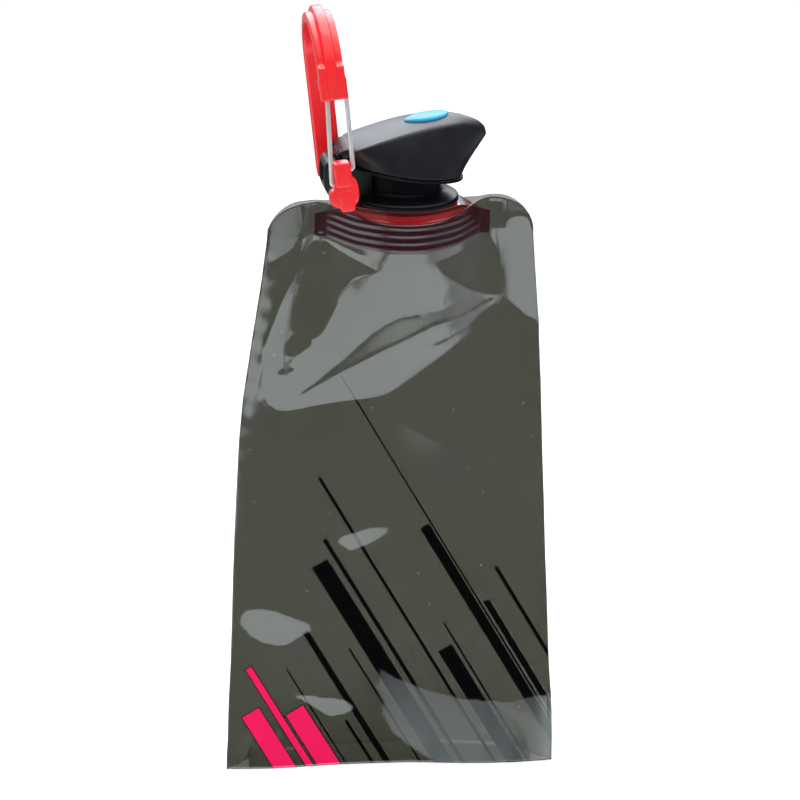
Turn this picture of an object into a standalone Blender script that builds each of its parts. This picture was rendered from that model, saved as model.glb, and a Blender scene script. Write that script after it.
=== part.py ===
"""Collapsible water bag with a red welded spout, a screw cap with a flip lid and a carabiner.

All sizes are in metres. The bag stands on z = 0 with +Z up, the lid points along +X and the
carabiner hangs on the -X side of the cap.
"""
import math

import bmesh
import bpy
from mathutils import Matrix, Vector

mm = 0.001

# Film bag
bagWidth = 120 * mm
bagHeight = 213.5 * mm
topTaper = 13.5 * mm
cornerRadius = 12 * mm
filmThickness = 0.4 * mm
sideSeal = 9 * mm
restGap = 0.3 * mm
bellyHalfDepth = 5.0 * mm
baseHalfDepth = 9.0 * mm
gussetHeight = 26 * mm
gussetWidth = bagWidth - 14 * mm
spoutDip = 4.0 * mm

# Welded spout
canoeLength = 62 * mm
canoeHalfDepth = 18.0 * mm
canoeBottomDrop = 15.2 * mm
canoeTabHeight = 8 * mm
ribDepth = 0.6 * mm
ribCount = 5
tabHalfThickness = 0.9 * mm
neckRadius = 10.4 * mm
neckWall = 1.9 * mm
boreRadius = neckRadius - neckWall
neckHeight = 5.5 * mm
threadDepth = 0.9 * mm
threadPitch = 2.4 * mm
threadTurns = 1.4

# Cap
flangeZ = bagHeight + restGap
flangeRadius = 19.4 * mm
flangeRim = 1.5 * mm
skirtBore = neckRadius + threadDepth + restGap
skirtWall = 1.5 * mm
waistRadius = skirtBore + skirtWall
gasketHeight = 1.0 * mm
deckThickness = 1.2 * mm
deckSlope = math.radians(11.0)
deckRise = 11.7 * mm
deckLength = 40.8 * mm
deckWidth = 33.6 * mm
nozzleX = 2.0 * mm
nozzleRadius = 4.7 * mm
nozzleBore = 3.2 * mm
nozzleTop = 20.4 * mm

# Bracket behind the cap that carries the carabiner and the lid hinge
bracketWidth = 13 * mm
barX = -25.0 * mm
bracketRear = barX - 5.4 * mm
barRise = 8.5 * mm
hingeX = -deckLength / 2 - 1.9 * mm
hingeRise = deckRise - math.tan(deckSlope) * hingeX + 0.77 * mm
knuckleRadius = 2.2 * mm
knuckleWidth = 9.4 * mm
pinRadius = 0.9 * mm

# Lid
lidBaseLength = deckLength - 1.2 * mm
lidBaseWidth = deckWidth - 1.0 * mm
lidTopRear = -deckLength / 2 + 0.4 * mm
lidTopFront = 28.1 * mm
lidRearHalfWidth = deckWidth / 2 - 0.8 * mm
lidFrontHalfWidth = 5.5 * mm
lidCrownX = 13.0 * mm
lidCrown = 26.9 * mm
lidWall = 1.4 * mm
padLength = 15.6 * mm
padWidth = 11.0 * mm
padCentreX = 7.2 * mm
padHeight = 1.1 * mm

# Carabiner
frameHalfWidth = deckWidth / 2 + 2.4 * mm
frameLength = 57.3 * mm
frameLean = math.radians(7.4)
bodyWidth = 8.3 * mm
bodyThickness = 5.6 * mm
bodyRib = 2.0 * mm
barRadius = 2.1 * mm
noseLength = 5.8 * mm
footHeight = 10.1 * mm
footThickness = 5.2 * mm
wireRadius = 0.8 * mm
wireSpread = bodyWidth / 2 - wireRadius - 0.15 * mm
wireFoot = wireSpread + 0.75 * mm
footNeck = wireFoot - wireRadius - restGap - 0.15 * mm
hookLow = 1.9 * mm
hookHigh = 6.8 * mm


for old in list(bpy.data.objects):
    bpy.data.objects.remove(old, do_unlink=True)

parts = bpy.data.collections.new("water_bag")
bpy.context.scene.collection.children.link(parts)
cutters = bpy.data.collections.new("water_bag_cutters")
bpy.context.scene.collection.children.link(cutters)


def makeMaterial(name, colour, roughness, metallic=0.0, alpha=1.0, coat=0.0):
    material = bpy.data.materials.new(name)
    material.use_nodes = True
    shader = material.node_tree.nodes["Principled BSDF"]
    shader.inputs["Base Color"].default_value = (colour[0], colour[1], colour[2], 1.0)
    shader.inputs["Roughness"].default_value = roughness
    shader.inputs["Metallic"].default_value = metallic
    shader.inputs["Alpha"].default_value = alpha
    shader.inputs["Coat Weight"].default_value = coat
    material.diffuse_color = (colour[0], colour[1], colour[2], alpha)
    return material


smokeFilm = makeMaterial("smoke_film", (0.075, 0.08, 0.065), 0.08, alpha=0.72)
redPlastic = makeMaterial("red_plastic", (0.78, 0.012, 0.015), 0.32)
blackPlastic = makeMaterial("black_plastic", (0.016, 0.018, 0.021), 0.38)
blueSoft = makeMaterial("blue_soft", (0.03, 0.36, 0.68), 0.42)
clearSoft = makeMaterial("clear_soft", (0.55, 0.58, 0.6), 0.3)
wireSteel = makeMaterial("wire_steel", (0.62, 0.63, 0.64), 0.22, metallic=1.0)


def addObject(name, mesh, material, smooth=True, collection=parts):
    item = bpy.data.objects.new(name, mesh)
    collection.objects.link(item)
    if material is not None:
        mesh.materials.append(material)
    for face in mesh.polygons:
        face.use_smooth = smooth
    return item


def meshFrom(name, build):
    mesh = bpy.data.meshes.new(name)
    work = bmesh.new()
    build(work)
    bmesh.ops.recalc_face_normals(work, faces=work.faces)
    work.to_mesh(mesh)
    work.free()
    return mesh


def addCutter(name, build):
    item = addObject(name, meshFrom(name, build), None, False, cutters)
    item.hide_render = True
    item.display_type = 'WIRE'
    return item


def combine(target, other, operation):
    step = target.modifiers.new(other.name, 'BOOLEAN')
    step.operation = operation
    step.solver = 'EXACT'
    step.object = other
    return step


def cylinderAt(work, radius, low, high, axis='Z', segments=40, topRadius=None):
    """Adds a capped cylinder whose axis runs between the two given points."""
    start = Vector(low)
    end = Vector(high)
    direction = end - start
    turn = direction.to_track_quat('Z', 'Y').to_matrix().to_4x4()
    place = Matrix.Translation((start + end) / 2) @ turn
    upper = radius if topRadius is None else topRadius
    bmesh.ops.create_cone(work, cap_ends=True, segments=segments, radius1=radius, radius2=upper,
                          depth=direction.length, matrix=place)


def boxAt(work, low, high):
    centre = [(a + b) / 2 for a, b in zip(low, high)]
    size = [b - a for a, b in zip(low, high)]
    place = Matrix.Translation(centre) @ Matrix.Diagonal((size[0], size[1], size[2], 1.0))
    bmesh.ops.create_cube(work, size=1.0, matrix=place)


def revolve(name, profile, material, steps=48):
    """Turns a closed profile of (radius, height) pairs round the Z axis."""
    mesh = bpy.data.meshes.new(name)
    work = bmesh.new()
    ring = [work.verts.new((radius, 0, height)) for radius, height in profile]
    for first, second in zip(ring, ring[1:] + ring[:1]):
        work.edges.new((first, second))
    work.to_mesh(mesh)
    work.free()
    item = addObject(name, mesh, material)
    turn = item.modifiers.new("Turn", 'SCREW')
    turn.angle = 2 * math.pi
    turn.steps = steps
    turn.render_steps = steps
    turn.use_merge_vertices = True
    turn.merge_threshold = 0.00001
    return item


def loftRings(work, rings):
    """Joins closed rings of equal length into one capped solid."""
    rows = [[work.verts.new(point) for point in ring] for ring in rings]
    count = len(rows[0])
    for lower, upper in zip(rows, rows[1:]):
        for index in range(count):
            following = (index + 1) % count
            work.faces.new((lower[index], lower[following], upper[following], upper[index]))
    work.faces.new(list(reversed(rows[0])))
    work.faces.new(rows[-1])


def smoothRise(value, low, high):
    t = min(1.0, max(0.0, (value - low) / (high - low)))
    return t * t * (3 - 2 * t)


# The film bag

def halfWidth(z):
    """Half width of the bag, which narrows toward the spout."""
    return bagWidth / 2 - topTaper * (max(0.0, z) / bagHeight) ** 1.8


def canoeHalf(x, extra=0.0):
    """Half depth of the spout's welded boat at a station along its length."""
    reach = canoeLength / 2 - 2 * mm
    fullness = max(0.0, 1 - (x / reach) ** 2) ** 1.35
    return max(tabHalfThickness, (canoeHalfDepth + extra) * fullness)


def topEdge(x):
    """Height of the film's upper edge, with rounded corners and a dip in front of the spout."""
    dip = spoutDip * (1 - smoothRise(abs(x), 8 * mm, canoeLength / 2 + 1 * mm))
    shoulder = halfWidth(bagHeight) - cornerRadius
    over = max(0.0, abs(x) - shoulder)
    drop = cornerRadius - math.sqrt(max(0.0, cornerRadius ** 2 - min(over, cornerRadius) ** 2))
    return bagHeight - dip - drop


def filmGap(x, z):
    """Distance from the bag's middle plane to the inner face of either film panel."""
    side = halfWidth(z)
    closed = restGap / 2
    low = smoothRise(z, 4 * mm, gussetHeight * 1.3)
    seal = sideSeal * low + 1.0 * mm * (1 - low)
    reach = side - seal
    inside = max(0.0, 1 - (x / reach) ** 2)
    body = bellyHalfDepth * inside ** 1.2
    square = max(0.0, 1 - abs(x / (side - 0.5 * mm)) ** 6)
    base = baseHalfDepth * square
    layers = 2 * filmThickness + 2 * restGap
    if abs(x) < gussetWidth / 2 + 1.5 * mm:
        base = max(base, layers)
    belly = body * low + base * (1 - low)
    if abs(x) < gussetWidth / 2 + 1.5 * mm:
        belly = max(belly, layers * (1 - smoothRise(z, gussetHeight + 2 * mm, gussetHeight + 14 * mm)))
    spoutLow = flangeZ - canoeBottomDrop
    weld = smoothRise(z, spoutLow - 75 * mm, spoutLow - 1.0 * mm)
    around = canoeHalf(x, ribDepth) + restGap
    fade = 1 - smoothRise(abs(x), canoeLength / 2 + 0.5 * mm, canoeLength / 2 + 3 * mm)
    around *= fade
    return max(closed, belly * (1 - weld) + around * weld)


hemTrim = 0.8 * mm


def panelPoints(work, sign):
    across = 28
    along = 26
    rows = []
    for row in range(along + 1):
        rise = row / along
        line = []
        for column in range(across + 1):
            s = 2 * column / across - 1
            u = 0.55 * s + 0.45 * math.sin(math.pi / 2 * s)
            x = u * halfWidth(bagHeight)
            z = rise * (topEdge(x) + hemTrim) - hemTrim
            x = u * halfWidth(z)
            line.append(work.verts.new((x, sign * filmGap(x, z), z)))
        rows.append(line)
    for lower, upper in zip(rows, rows[1:]):
        for index in range(across):
            work.faces.new((lower[index], lower[index + 1], upper[index + 1], upper[index]))


def addPanel(name, sign):
    mesh = bpy.data.meshes.new(name)
    work = bmesh.new()
    panelPoints(work, sign)
    for face in work.faces:
        face.normal_update()
    middle = sum(face.normal.y for face in work.faces)
    if middle * sign < 0:
        bmesh.ops.reverse_faces(work, faces=work.faces)
    work.to_mesh(mesh)
    work.free()
    item = addObject(name, mesh, smokeFilm)
    shell = item.modifiers.new("Film", 'SOLIDIFY')
    shell.thickness = filmThickness
    shell.offset = 1.0
    combine(item, groundCut, 'DIFFERENCE')
    return item


def gussetPoints(work):
    """An upturned fold between the panels, welded to both along the bottom edge."""
    across = 22
    legs = 5
    half = gussetWidth / 2
    rows = []
    for column in range(across + 1):
        s = 2 * column / across - 1
        x = half * (0.6 * s + 0.4 * math.sin(math.pi / 2 * s))
        line = []
        for step in range(-legs, legs + 1):
            t = 1 - abs(step) / legs
            z = (gussetHeight + hemTrim) * t - hemTrim
            foot = filmGap(x, 0.0) - restGap - filmThickness
            lean = smoothRise(t, 0.12, 1.0)
            top = 0.0
            y = foot * (1 - lean) + top * lean
            y = min(y, filmGap(x, max(0.0, z)) - restGap - filmThickness)
            line.append(work.verts.new((x, math.copysign(y, step) if step else 0.0, z)))
        rows.append(line)
    for lower, upper in zip(rows, rows[1:]):
        for index in range(2 * legs):
            work.faces.new((lower[index], lower[index + 1], upper[index + 1], upper[index]))


groundCut = addCutter("ground_cut", lambda work: boxAt(
    work, (-bagWidth, -bagWidth, -20 * mm), (bagWidth, bagWidth, 0)))
addPanel("front_panel", -1)
addPanel("back_panel", 1)


def addGusset():
    mesh = bpy.data.meshes.new("bottom_gusset")
    work = bmesh.new()
    gussetPoints(work)
    bmesh.ops.recalc_face_normals(work, faces=work.faces)
    work.faces.ensure_lookup_table()
    rise = sum(face.normal.z for face in work.faces)
    if rise < 0:
        bmesh.ops.reverse_faces(work, faces=work.faces)
    work.to_mesh(mesh)
    work.free()
    item = addObject("bottom_gusset", mesh, smokeFilm)
    shell = item.modifiers.new("Film", 'SOLIDIFY')
    shell.thickness = filmThickness
    shell.offset = 1.0
    combine(item, groundCut, 'DIFFERENCE')
    return item


addGusset()


# The red spout

canoeTop = flangeZ - 0.5 * mm
canoeLow = flangeZ - canoeBottomDrop
tabMiddle = flangeZ - 9.2 * mm


def canoeLevel(x, t):
    """Height of a level of the boat, from 0 at its underside to 1 at its top."""
    slope = smoothRise(abs(x), 17 * mm, canoeLength / 2)
    low = canoeLow * (1 - slope) + (tabMiddle - canoeTabHeight / 2) * slope
    high = canoeTop * (1 - slope) + (tabMiddle + canoeTabHeight / 2) * slope
    return low + (high - low) * t


def canoePoints(work):
    stations = 26
    levels = [(0.0, 0.0)]
    pitch = 0.78 / ribCount
    for rib in range(ribCount):
        start = 0.03 + rib * pitch
        levels += [(start, 0.0), (start + 0.2 * pitch, ribDepth)]
        levels += [(start + 0.5 * pitch, ribDepth), (start + 0.7 * pitch, 0.0)]
    levels += [(1.0, 0.0)]
    sides = {}
    for sign in (-1, 1):
        for column in range(stations + 1):
            s = 2 * column / stations - 1
            x = canoeLength / 2 * (0.7 * s + 0.3 * math.sin(math.pi / 2 * s))
            for row, (t, extra) in enumerate(levels):
                y = sign * canoeHalf(x, extra)
                sides[sign, column, row] = work.verts.new((x, y, canoeLevel(x, t)))
    top = len(levels) - 1
    for column in range(stations):
        for sign in (-1, 1):
            for row in range(top):
                work.faces.new((sides[sign, column, row], sides[sign, column + 1, row],
                                sides[sign, column + 1, row + 1], sides[sign, column, row + 1]))
        for row in (0, top):
            work.faces.new((sides[-1, column, row], sides[-1, column + 1, row],
                            sides[1, column + 1, row], sides[1, column, row]))
    for column in (0, stations):
        for row in range(top):
            work.faces.new((sides[-1, column, row], sides[-1, column, row + 1],
                            sides[1, column, row + 1], sides[1, column, row]))


def threadPoints(work, root, crest, lowest, turns, rootHalf, crestHalf, start=0.0):
    """A helical ridge; the crest may lie outside or inside the root."""
    rings = []
    count = max(8, int(round(turns * 24)))
    for step in range(count + 1):
        t = step / count
        angle = start + 2 * math.pi * turns * t
        fade = min(1.0, 6 * t, 6 * (1 - t))
        reach = root + (crest - root) * max(0.12, fade)
        z = lowest + threadPitch * turns * t
        ring = []
        for radius, rise in ((root, -rootHalf), (reach, -crestHalf), (reach, crestHalf), (root, rootHalf)):
            ring.append((radius * math.cos(angle), radius * math.sin(angle), z + rise))
        rings.append(ring)
    loftRings(work, rings)


spout = addObject("spout", meshFrom("spout", canoePoints), redPlastic)
neckTop = canoeTop + neckHeight
neck = addCutter("neck_tube", lambda work: cylinderAt(
    work, neckRadius, (0, 0, canoeTop - 2 * mm), (0, 0, neckTop), segments=48))
combine(spout, neck, 'UNION')
neckThread = addCutter("neck_thread", lambda work: threadPoints(
    work, neckRadius - 0.3 * mm, neckRadius + threadDepth, canoeTop + 1.2 * mm, threadTurns,
    0.5 * mm, 0.22 * mm))
combine(spout, neckThread, 'UNION')
bore = addCutter("neck_bore", lambda work: cylinderAt(work, boreRadius, (0, 0, canoeLow - 2 * mm),
                                                      (0, 0, neckTop + 2 * mm), segments=48))
combine(spout, bore, 'DIFFERENCE')


# The screw cap

def deckZ(x):
    """Height of the inclined deck on which the lid closes."""
    return flangeZ + deckRise - math.tan(deckSlope) * x


cavityTop = neckTop + restGap + gasketHeight + restGap
cap = revolve("cap_body", [
    (waistRadius + 0.06 * mm, flangeZ + 4.4 * mm),
    (waistRadius + 0.4 * mm, flangeZ + 3.6 * mm),
    (waistRadius + 1.6 * mm, flangeZ + 3.0 * mm),
    (flangeRadius - 0.5 * mm, flangeZ + flangeRim),
    (flangeRadius, flangeZ + flangeRim - 0.3 * mm),
    (flangeRadius, flangeZ + 0.4 * mm),
    (flangeRadius - 0.4 * mm, flangeZ),
    (boreRadius, flangeZ),
    (boreRadius, flangeZ + 4.4 * mm)], blackPlastic)


def pedestalPoints(work):
    """The body between the threaded skirt and the inclined deck."""
    count = 48
    lower = []
    upper = []
    for step in range(count):
        angle = 2 * math.pi * step / count
        x = waistRadius * math.cos(angle)
        y = waistRadius * math.sin(angle)
        lower.append((x, y, flangeZ + 2.2 * mm))
        upper.append((x, y, deckZ(x) - deckThickness / 2))
    loftRings(work, [lower, upper])


def eggPoint(angle, length, width, centre):
    """A point of the rounded outline shared by the deck and the foot of the lid."""
    c = math.cos(angle)
    s = math.sin(angle)
    x = centre + length / 2 * math.copysign(abs(c) ** 0.86, c)
    y = width / 2 * math.copysign(abs(s) ** 0.86, s)
    return x, y


def deckPoints(work):
    count = 48
    rings = []
    levels = ((0.5 * mm, deckThickness), (0.0, deckThickness - 0.35 * mm), (0.0, 0.35 * mm), (0.4 * mm, 0.0))
    for inset, drop in levels:
        ring = []
        for step in range(count):
            angle = 2 * math.pi * step / count
            x, y = eggPoint(angle, deckLength - 2 * inset, deckWidth - 2 * inset, 0.3 * mm)
            ring.append((x, y, deckZ(x) - drop))
        rings.append(ring)
    loftRings(work, rings)


def bracketPoints(work):
    """The upright bracket, drawn as a side outline and given its width."""
    rise = flangeZ
    outline = [(-14 * mm, rise + 1.6 * mm), (-22 * mm, rise + 0.9 * mm), (-26.6 * mm, rise + 1.2 * mm),
               (-28.6 * mm, rise + 2.8 * mm), (bracketRear + 0.3 * mm, rise + 6.0 * mm),
               (bracketRear, rise + 10.0 * mm), (bracketRear + 0.7 * mm, rise + 13.6 * mm),
               (bracketRear + 2.4 * mm, rise + 15.6 * mm), (-25.4 * mm, rise + 16.0 * mm),
               (-20.0 * mm, rise + 15.2 * mm), (-14 * mm, rise + 13.6 * mm)]
    left = [(x, -bracketWidth / 2, z) for x, z in outline]
    right = [(x, bracketWidth / 2, z) for x, z in outline]
    loftRings(work, [left, right])


pedestal = addCutter("cap_pedestal", pedestalPoints)
combine(cap, pedestal, 'UNION')
deck = addCutter("cap_deck", deckPoints)
combine(cap, deck, 'UNION')
bracket = addCutter("cap_bracket", bracketPoints)
bracketEdge = bracket.modifiers.new("Edge", 'BEVEL')
bracketEdge.width = 0.5 * mm
bracketEdge.segments = 2
bracketEdge.limit_method = 'ANGLE'
bracketEdge.angle_limit = math.radians(50)
combine(cap, bracket, 'UNION')

combine(cap, addCutter("cap_cavity", lambda work: cylinderAt(
    work, skirtBore, (0, 0, flangeZ - 5 * mm), (0, 0, cavityTop), segments=48)), 'DIFFERENCE')

hingeZ = flangeZ + hingeRise
earWidth = 2.4 * mm
earInner = knuckleWidth / 2 + restGap
for sign, label in ((-1, "near"), (1, "far")):
    ear = addCutter("cap_ear_" + label, lambda work, s=sign: cylinderAt(
        work, knuckleRadius, (hingeX, s * earInner, hingeZ), (hingeX, s * (earInner + earWidth), hingeZ),
        segments=28))
    combine(cap, ear, 'UNION')


def knuckleRoom(work):
    cylinderAt(work, knuckleRadius + 0.5 * mm, (hingeX, -earInner, hingeZ), (hingeX, earInner, hingeZ),
               segments=28)


combine(cap, addCutter("cap_knuckle_room", knuckleRoom), 'DIFFERENCE')


def pinHole(work):
    cylinderAt(work, pinRadius + restGap, (hingeX, -0.02, hingeZ), (hingeX, 0.02, hingeZ), segments=20)


pinCutter = addCutter("pin_hole", pinHole)
combine(cap, pinCutter, 'DIFFERENCE')


def barSlot(work):
    """A tall slot for the carabiner's bar, open at both sides of the bracket."""
    z = flangeZ + barRise
    width = barRadius + 0.35 * mm
    ring = []
    for step in range(13):
        angle = math.pi + math.pi * step / 12
        ring.append((barX + width * math.cos(angle), z + width * math.sin(angle)))
    for step in range(13):
        angle = math.pi * step / 12
        ring.append((barX + width * math.cos(angle), z + 3.0 * mm + width * math.sin(angle)))
    left = [(x, -bracketWidth, h) for x, h in ring]
    right = [(x, bracketWidth, h) for x, h in ring]
    loftRings(work, [left, right])


combine(cap, addCutter("bar_slot", barSlot), 'DIFFERENCE')
capThread = addCutter("cap_thread", lambda work: threadPoints(
    work, skirtBore + 0.3 * mm, skirtBore - threadDepth + 0.1 * mm, canoeTop + 1.2 * mm + threadPitch / 2,
    threadTurns - 0.2, 0.5 * mm, 0.22 * mm, start=0.4))
combine(cap, capThread, 'UNION')
drinkHole = addCutter("drink_hole", lambda work: cylinderAt(
    work, nozzleBore, (nozzleX, 0, cavityTop - 3 * mm), (nozzleX, 0, flangeZ + 25 * mm), segments=28))
combine(cap, drinkHole, 'DIFFERENCE')

revolve("cap_gasket", [
    (skirtBore - 0.5 * mm, neckTop + restGap + gasketHeight),
    (skirtBore - 0.5 * mm, neckTop + restGap),
    (boreRadius + 0.4 * mm, neckTop + restGap),
    (boreRadius + 0.4 * mm, neckTop + restGap + gasketHeight)], clearSoft, steps=48)


# The drinking nozzle on the deck

def nozzlePoints(work):
    count = 32
    base = nozzleRadius + 1.3 * mm
    outer = []
    onDeck = ((base, restGap), (base, restGap + 1.0 * mm), (nozzleRadius + 0.1 * mm, 2.0 * mm))
    above = ((nozzleRadius - 0.5 * mm, nozzleTop - 2.4 * mm), (nozzleRadius, nozzleTop - 1.4 * mm),
             (nozzleRadius - 0.2 * mm, nozzleTop - 0.3 * mm), (nozzleRadius - 0.6 * mm, nozzleTop))
    levels = [(radius, z, True) for radius, z in onDeck] + [(radius, z, False) for radius, z in above]
    for radius, z, follow in levels:
        ring = []
        for step in range(count):
            angle = 2 * math.pi * step / count
            x = nozzleX + radius * math.cos(angle)
            y = radius * math.sin(angle)
            height = deckZ(x) + z if follow else flangeZ + z
            ring.append((x, y, height))
        outer.append(ring)
    loftRings(work, outer)


nozzle = addObject("drinking_nozzle", meshFrom("drinking_nozzle", nozzlePoints), clearSoft)
combine(nozzle, drinkHole, 'DIFFERENCE')


# The flip lid

def lidTopZ(x):
    """Height of the lid's upper edge along its length."""
    away = x - lidCrownX
    drop = away * away * 6.7
    if away > 0:
        drop += away ** 3 * 550
    return flangeZ + lidCrown - drop


def lidTopHalf(t):
    """Half width of the lid's top, from its rear (0) to the beak (1)."""
    taper = lidRearHalfWidth + (lidFrontHalfWidth - lidRearHalfWidth) * t
    ends = max(0.0, 1 - abs(2 * t - 1) ** 6) ** 0.5
    return taper * ends


def lidTopAt(x, y):
    """Height of the crowned top surface."""
    span = lidTopFront - lidTopRear
    t = min(0.98, max(0.02, (x - lidTopRear) / span))
    half = max(1 * mm, lidTopHalf(t))
    return lidTopZ(x) + 0.7 * mm * max(0.0, 1 - (y / half) ** 2)


def lidPoints(work):
    stations = 26
    acrossSteps = (-1, -0.78, -0.4, 0, 0.4, 0.78, 1)
    grid = []
    for index in range(stations + 1):
        s = index / stations
        t = (1 - math.cos(math.pi * s)) / 2
        topX = lidTopRear + (lidTopFront - lidTopRear) * t
        topY = lidTopHalf(t)
        angle = math.pi * (1 - s)
        baseX, baseY = eggPoint(angle, lidBaseLength, lidBaseWidth, 0.3 * mm)
        baseZ = deckZ(baseX) - 0.8 * mm
        row = {}
        ends = index in (0, stations)
        for sign in ((1,) if ends else (-1, 1)):
            for level in range(4):
                mix = level / 4
                bulge = 0.5 * mm * math.sin(math.pi * mix)
                x = baseX + (topX - baseX) * mix ** 1.1
                y = baseY + (topY - baseY) * mix + (0 if ends else bulge)
                z = baseZ + (lidTopZ(topX) - baseZ) * mix
                row['side', sign, level] = work.verts.new((x, sign * (0 if ends else y), z))
        if ends:
            tip = work.verts.new((topX, 0, lidTopAt(topX, 0) - 0.3 * mm))
            row['top'] = [tip] * len(acrossSteps)
        else:
            row['top'] = [work.verts.new((topX, topY * a, lidTopAt(topX, topY * a))) for a in acrossSteps]
        grid.append(row)

    def side(row, sign, level):
        if level == 4:
            return row['top'][0 if sign < 0 else -1]
        return row.get(('side', sign, level)) or row['side', 1, level]

    def addFace(corners):
        unique = []
        for corner in corners:
            if corner not in unique:
                unique.append(corner)
        if len(unique) > 2:
            work.faces.new(unique)

    for first, second in zip(grid, grid[1:]):
        for sign in (-1, 1):
            for level in range(4):
                addFace([side(first, sign, level), side(second, sign, level),
                         side(second, sign, level + 1), side(first, sign, level + 1)])
        for column in range(len(acrossSteps) - 1):
            addFace([first['top'][column], second['top'][column],
                     second['top'][column + 1], first['top'][column + 1]])


lid = addObject("lid", meshFrom("lid", lidPoints), blackPlastic)
lidShell = lid.modifiers.new("Wall", 'SOLIDIFY')
lidShell.thickness = lidWall
lidShell.offset = -1.0


def underDeck(work):
    """Everything below the lid's rim, which runs parallel to the deck."""
    corners = [(-0.04, -0.04), (0.04, -0.04), (0.04, 0.04), (-0.04, 0.04)]
    lower = [(x, y, flangeZ - 10 * mm) for x, y in corners]
    upper = [(x, y, deckZ(x) + restGap) for x, y in corners]
    loftRings(work, [lower, upper])


combine(lid, addCutter("lid_rim_cut", underDeck), 'DIFFERENCE')


def knucklePoints(work):
    cylinderAt(work, knuckleRadius, (hingeX, -knuckleWidth / 2, hingeZ), (hingeX, knuckleWidth / 2, hingeZ),
               segments=28)


combine(lid, addCutter("lid_knuckle", knucklePoints), 'UNION')


def lidArm(work):
    boxAt(work, (hingeX, -knuckleWidth / 2 + 0.2 * mm, hingeZ - 0.6 * mm),
          (lidTopRear + 1.2 * mm, knuckleWidth / 2 - 0.2 * mm, hingeZ + 1.9 * mm))


combine(lid, addCutter("lid_arm", lidArm), 'UNION')
combine(lid, pinCutter, 'DIFFERENCE')
plugTop = flangeZ + 23.4 * mm
plugLow = flangeZ + nozzleTop + restGap


def plugSocket(work):
    ceiling = lidTopAt(nozzleX - 6 * mm, 0) - 0.6 * mm
    cylinderAt(work, 6.4 * mm, (nozzleX, 0, plugLow + 0.5 * mm), (nozzleX, 0, ceiling), segments=32)


def plugHollow(work):
    cylinderAt(work, 5.2 * mm, (nozzleX, 0, plugLow - 1 * mm), (nozzleX, 0, plugTop + restGap), segments=32)


combine(lid, addCutter("lid_socket", plugSocket), 'UNION')
combine(lid, addCutter("lid_socket_hollow", plugHollow), 'DIFFERENCE')

plug = addObject("lid_plug", meshFrom("lid_plug", lambda work: cylinderAt(
    work, 4.9 * mm, (nozzleX, 0, plugLow), (nozzleX, 0, plugTop), segments=32)), clearSoft)
plugTip = addCutter("plug_tip", lambda work: cylinderAt(
    work, nozzleBore - 0.6 * mm, (nozzleX, 0, plugLow - 1.8 * mm), (nozzleX, 0, plugLow + 0.5 * mm),
    segments=28, topRadius=nozzleBore - 0.4 * mm))
combine(plug, plugTip, 'UNION')

earOuter = earInner + earWidth
addObject("lid_hinge_pin", meshFrom("lid_hinge_pin", lambda work: cylinderAt(
    work, pinRadius, (hingeX, -earOuter, hingeZ), (hingeX, earOuter, hingeZ), segments=20)), wireSteel)


def padPoints(work):
    """A drop-shaped soft pad that follows the crown of the lid, pointed toward the hinge."""
    count = 36
    rings = []
    for scale, rise in ((0.97, 0.0), (1.0, 0.35), (0.97, 0.7), (0.86, 0.93), (0.55, 1.0)):
        ring = []
        for step in range(count):
            angle = 2 * math.pi * step / count
            c = math.cos(angle)
            point = 1.0 if c > 0 else 1 - 0.42 * abs(c) ** 1.5
            x = padCentreX + scale * padLength / 2 * c
            y = scale * padWidth / 2 * math.sin(angle) * point
            ring.append((x, y, lidTopAt(x, y) + restGap + padHeight * rise))
        rings.append(ring)
    loftRings(work, rings)


addObject("lid_pad", meshFrom("lid_pad", padPoints), blueSoft)


# The carabiner, drawn upright in its own frame: x across the body, y across the loop, z up

def leaned(item):
    item.location = (barX, 0, flangeZ + barRise)
    item.rotation_euler = (0, -frameLean, 0)
    return item


def bodySection():
    """Outline of the body: (across, outward) pairs with a raised rib on the outer side."""
    w = bodyWidth / 2
    low = -bodyThickness / 2
    shelf = bodyThickness / 2 - bodyRib
    high = bodyThickness / 2
    e = 0.6 * mm
    return [(-w + e, low), (w - e, low), (w, low + e), (w, shelf - e), (w - e, shelf),
            (w * 0.55, shelf + 0.2 * mm), (w * 0.42, high - e), (w * 0.3, high),
            (-w * 0.3, high), (-w * 0.42, high - e), (-w * 0.55, shelf + 0.2 * mm),
            (-w + e, shelf), (-w, shelf - e), (-w, low + e)]


arcCentre = frameLength - frameHalfWidth
spineLow = -1.0 * mm


def framePoints(work):
    path = []
    noseLow = arcCentre - noseLength
    for step in range(3):
        path.append((-frameHalfWidth, noseLow + noseLength * step / 3, math.pi))
    for step in range(25):
        angle = math.pi - math.pi * step / 24
        path.append((frameHalfWidth * math.cos(angle), arcCentre + frameHalfWidth * math.sin(angle), angle))
    for step in range(1, 7):
        height = arcCentre + (spineLow - arcCentre) * step / 6
        path.append((frameHalfWidth, height, 0.0))
    corner = 3.2 * mm
    for step in range(1, 6):
        angle = -math.pi / 2 * step / 5
        path.append((frameHalfWidth - corner + corner * math.cos(angle),
                     spineLow + corner * math.sin(angle), angle))
    rings = []
    for y, z, angle in path:
        ring = []
        for across, out in bodySection():
            ring.append((across, y + out * math.cos(angle), z + out * math.sin(angle)))
        rings.append(ring)
    loftRings(work, rings)


frame = leaned(addObject("carabiner_frame", meshFrom("carabiner_frame", framePoints), redPlastic))
footInner = -frameHalfWidth + footThickness / 2 - 0.2 * mm


def addFrameTool(name, build):
    return leaned(addCutter(name, build))


combine(frame, addFrameTool("frame_bar", lambda work: cylinderAt(
    work, barRadius, (0, footInner - 1.5 * mm, 0), (0, frameHalfWidth, 0), segments=28)), 'UNION')


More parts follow.
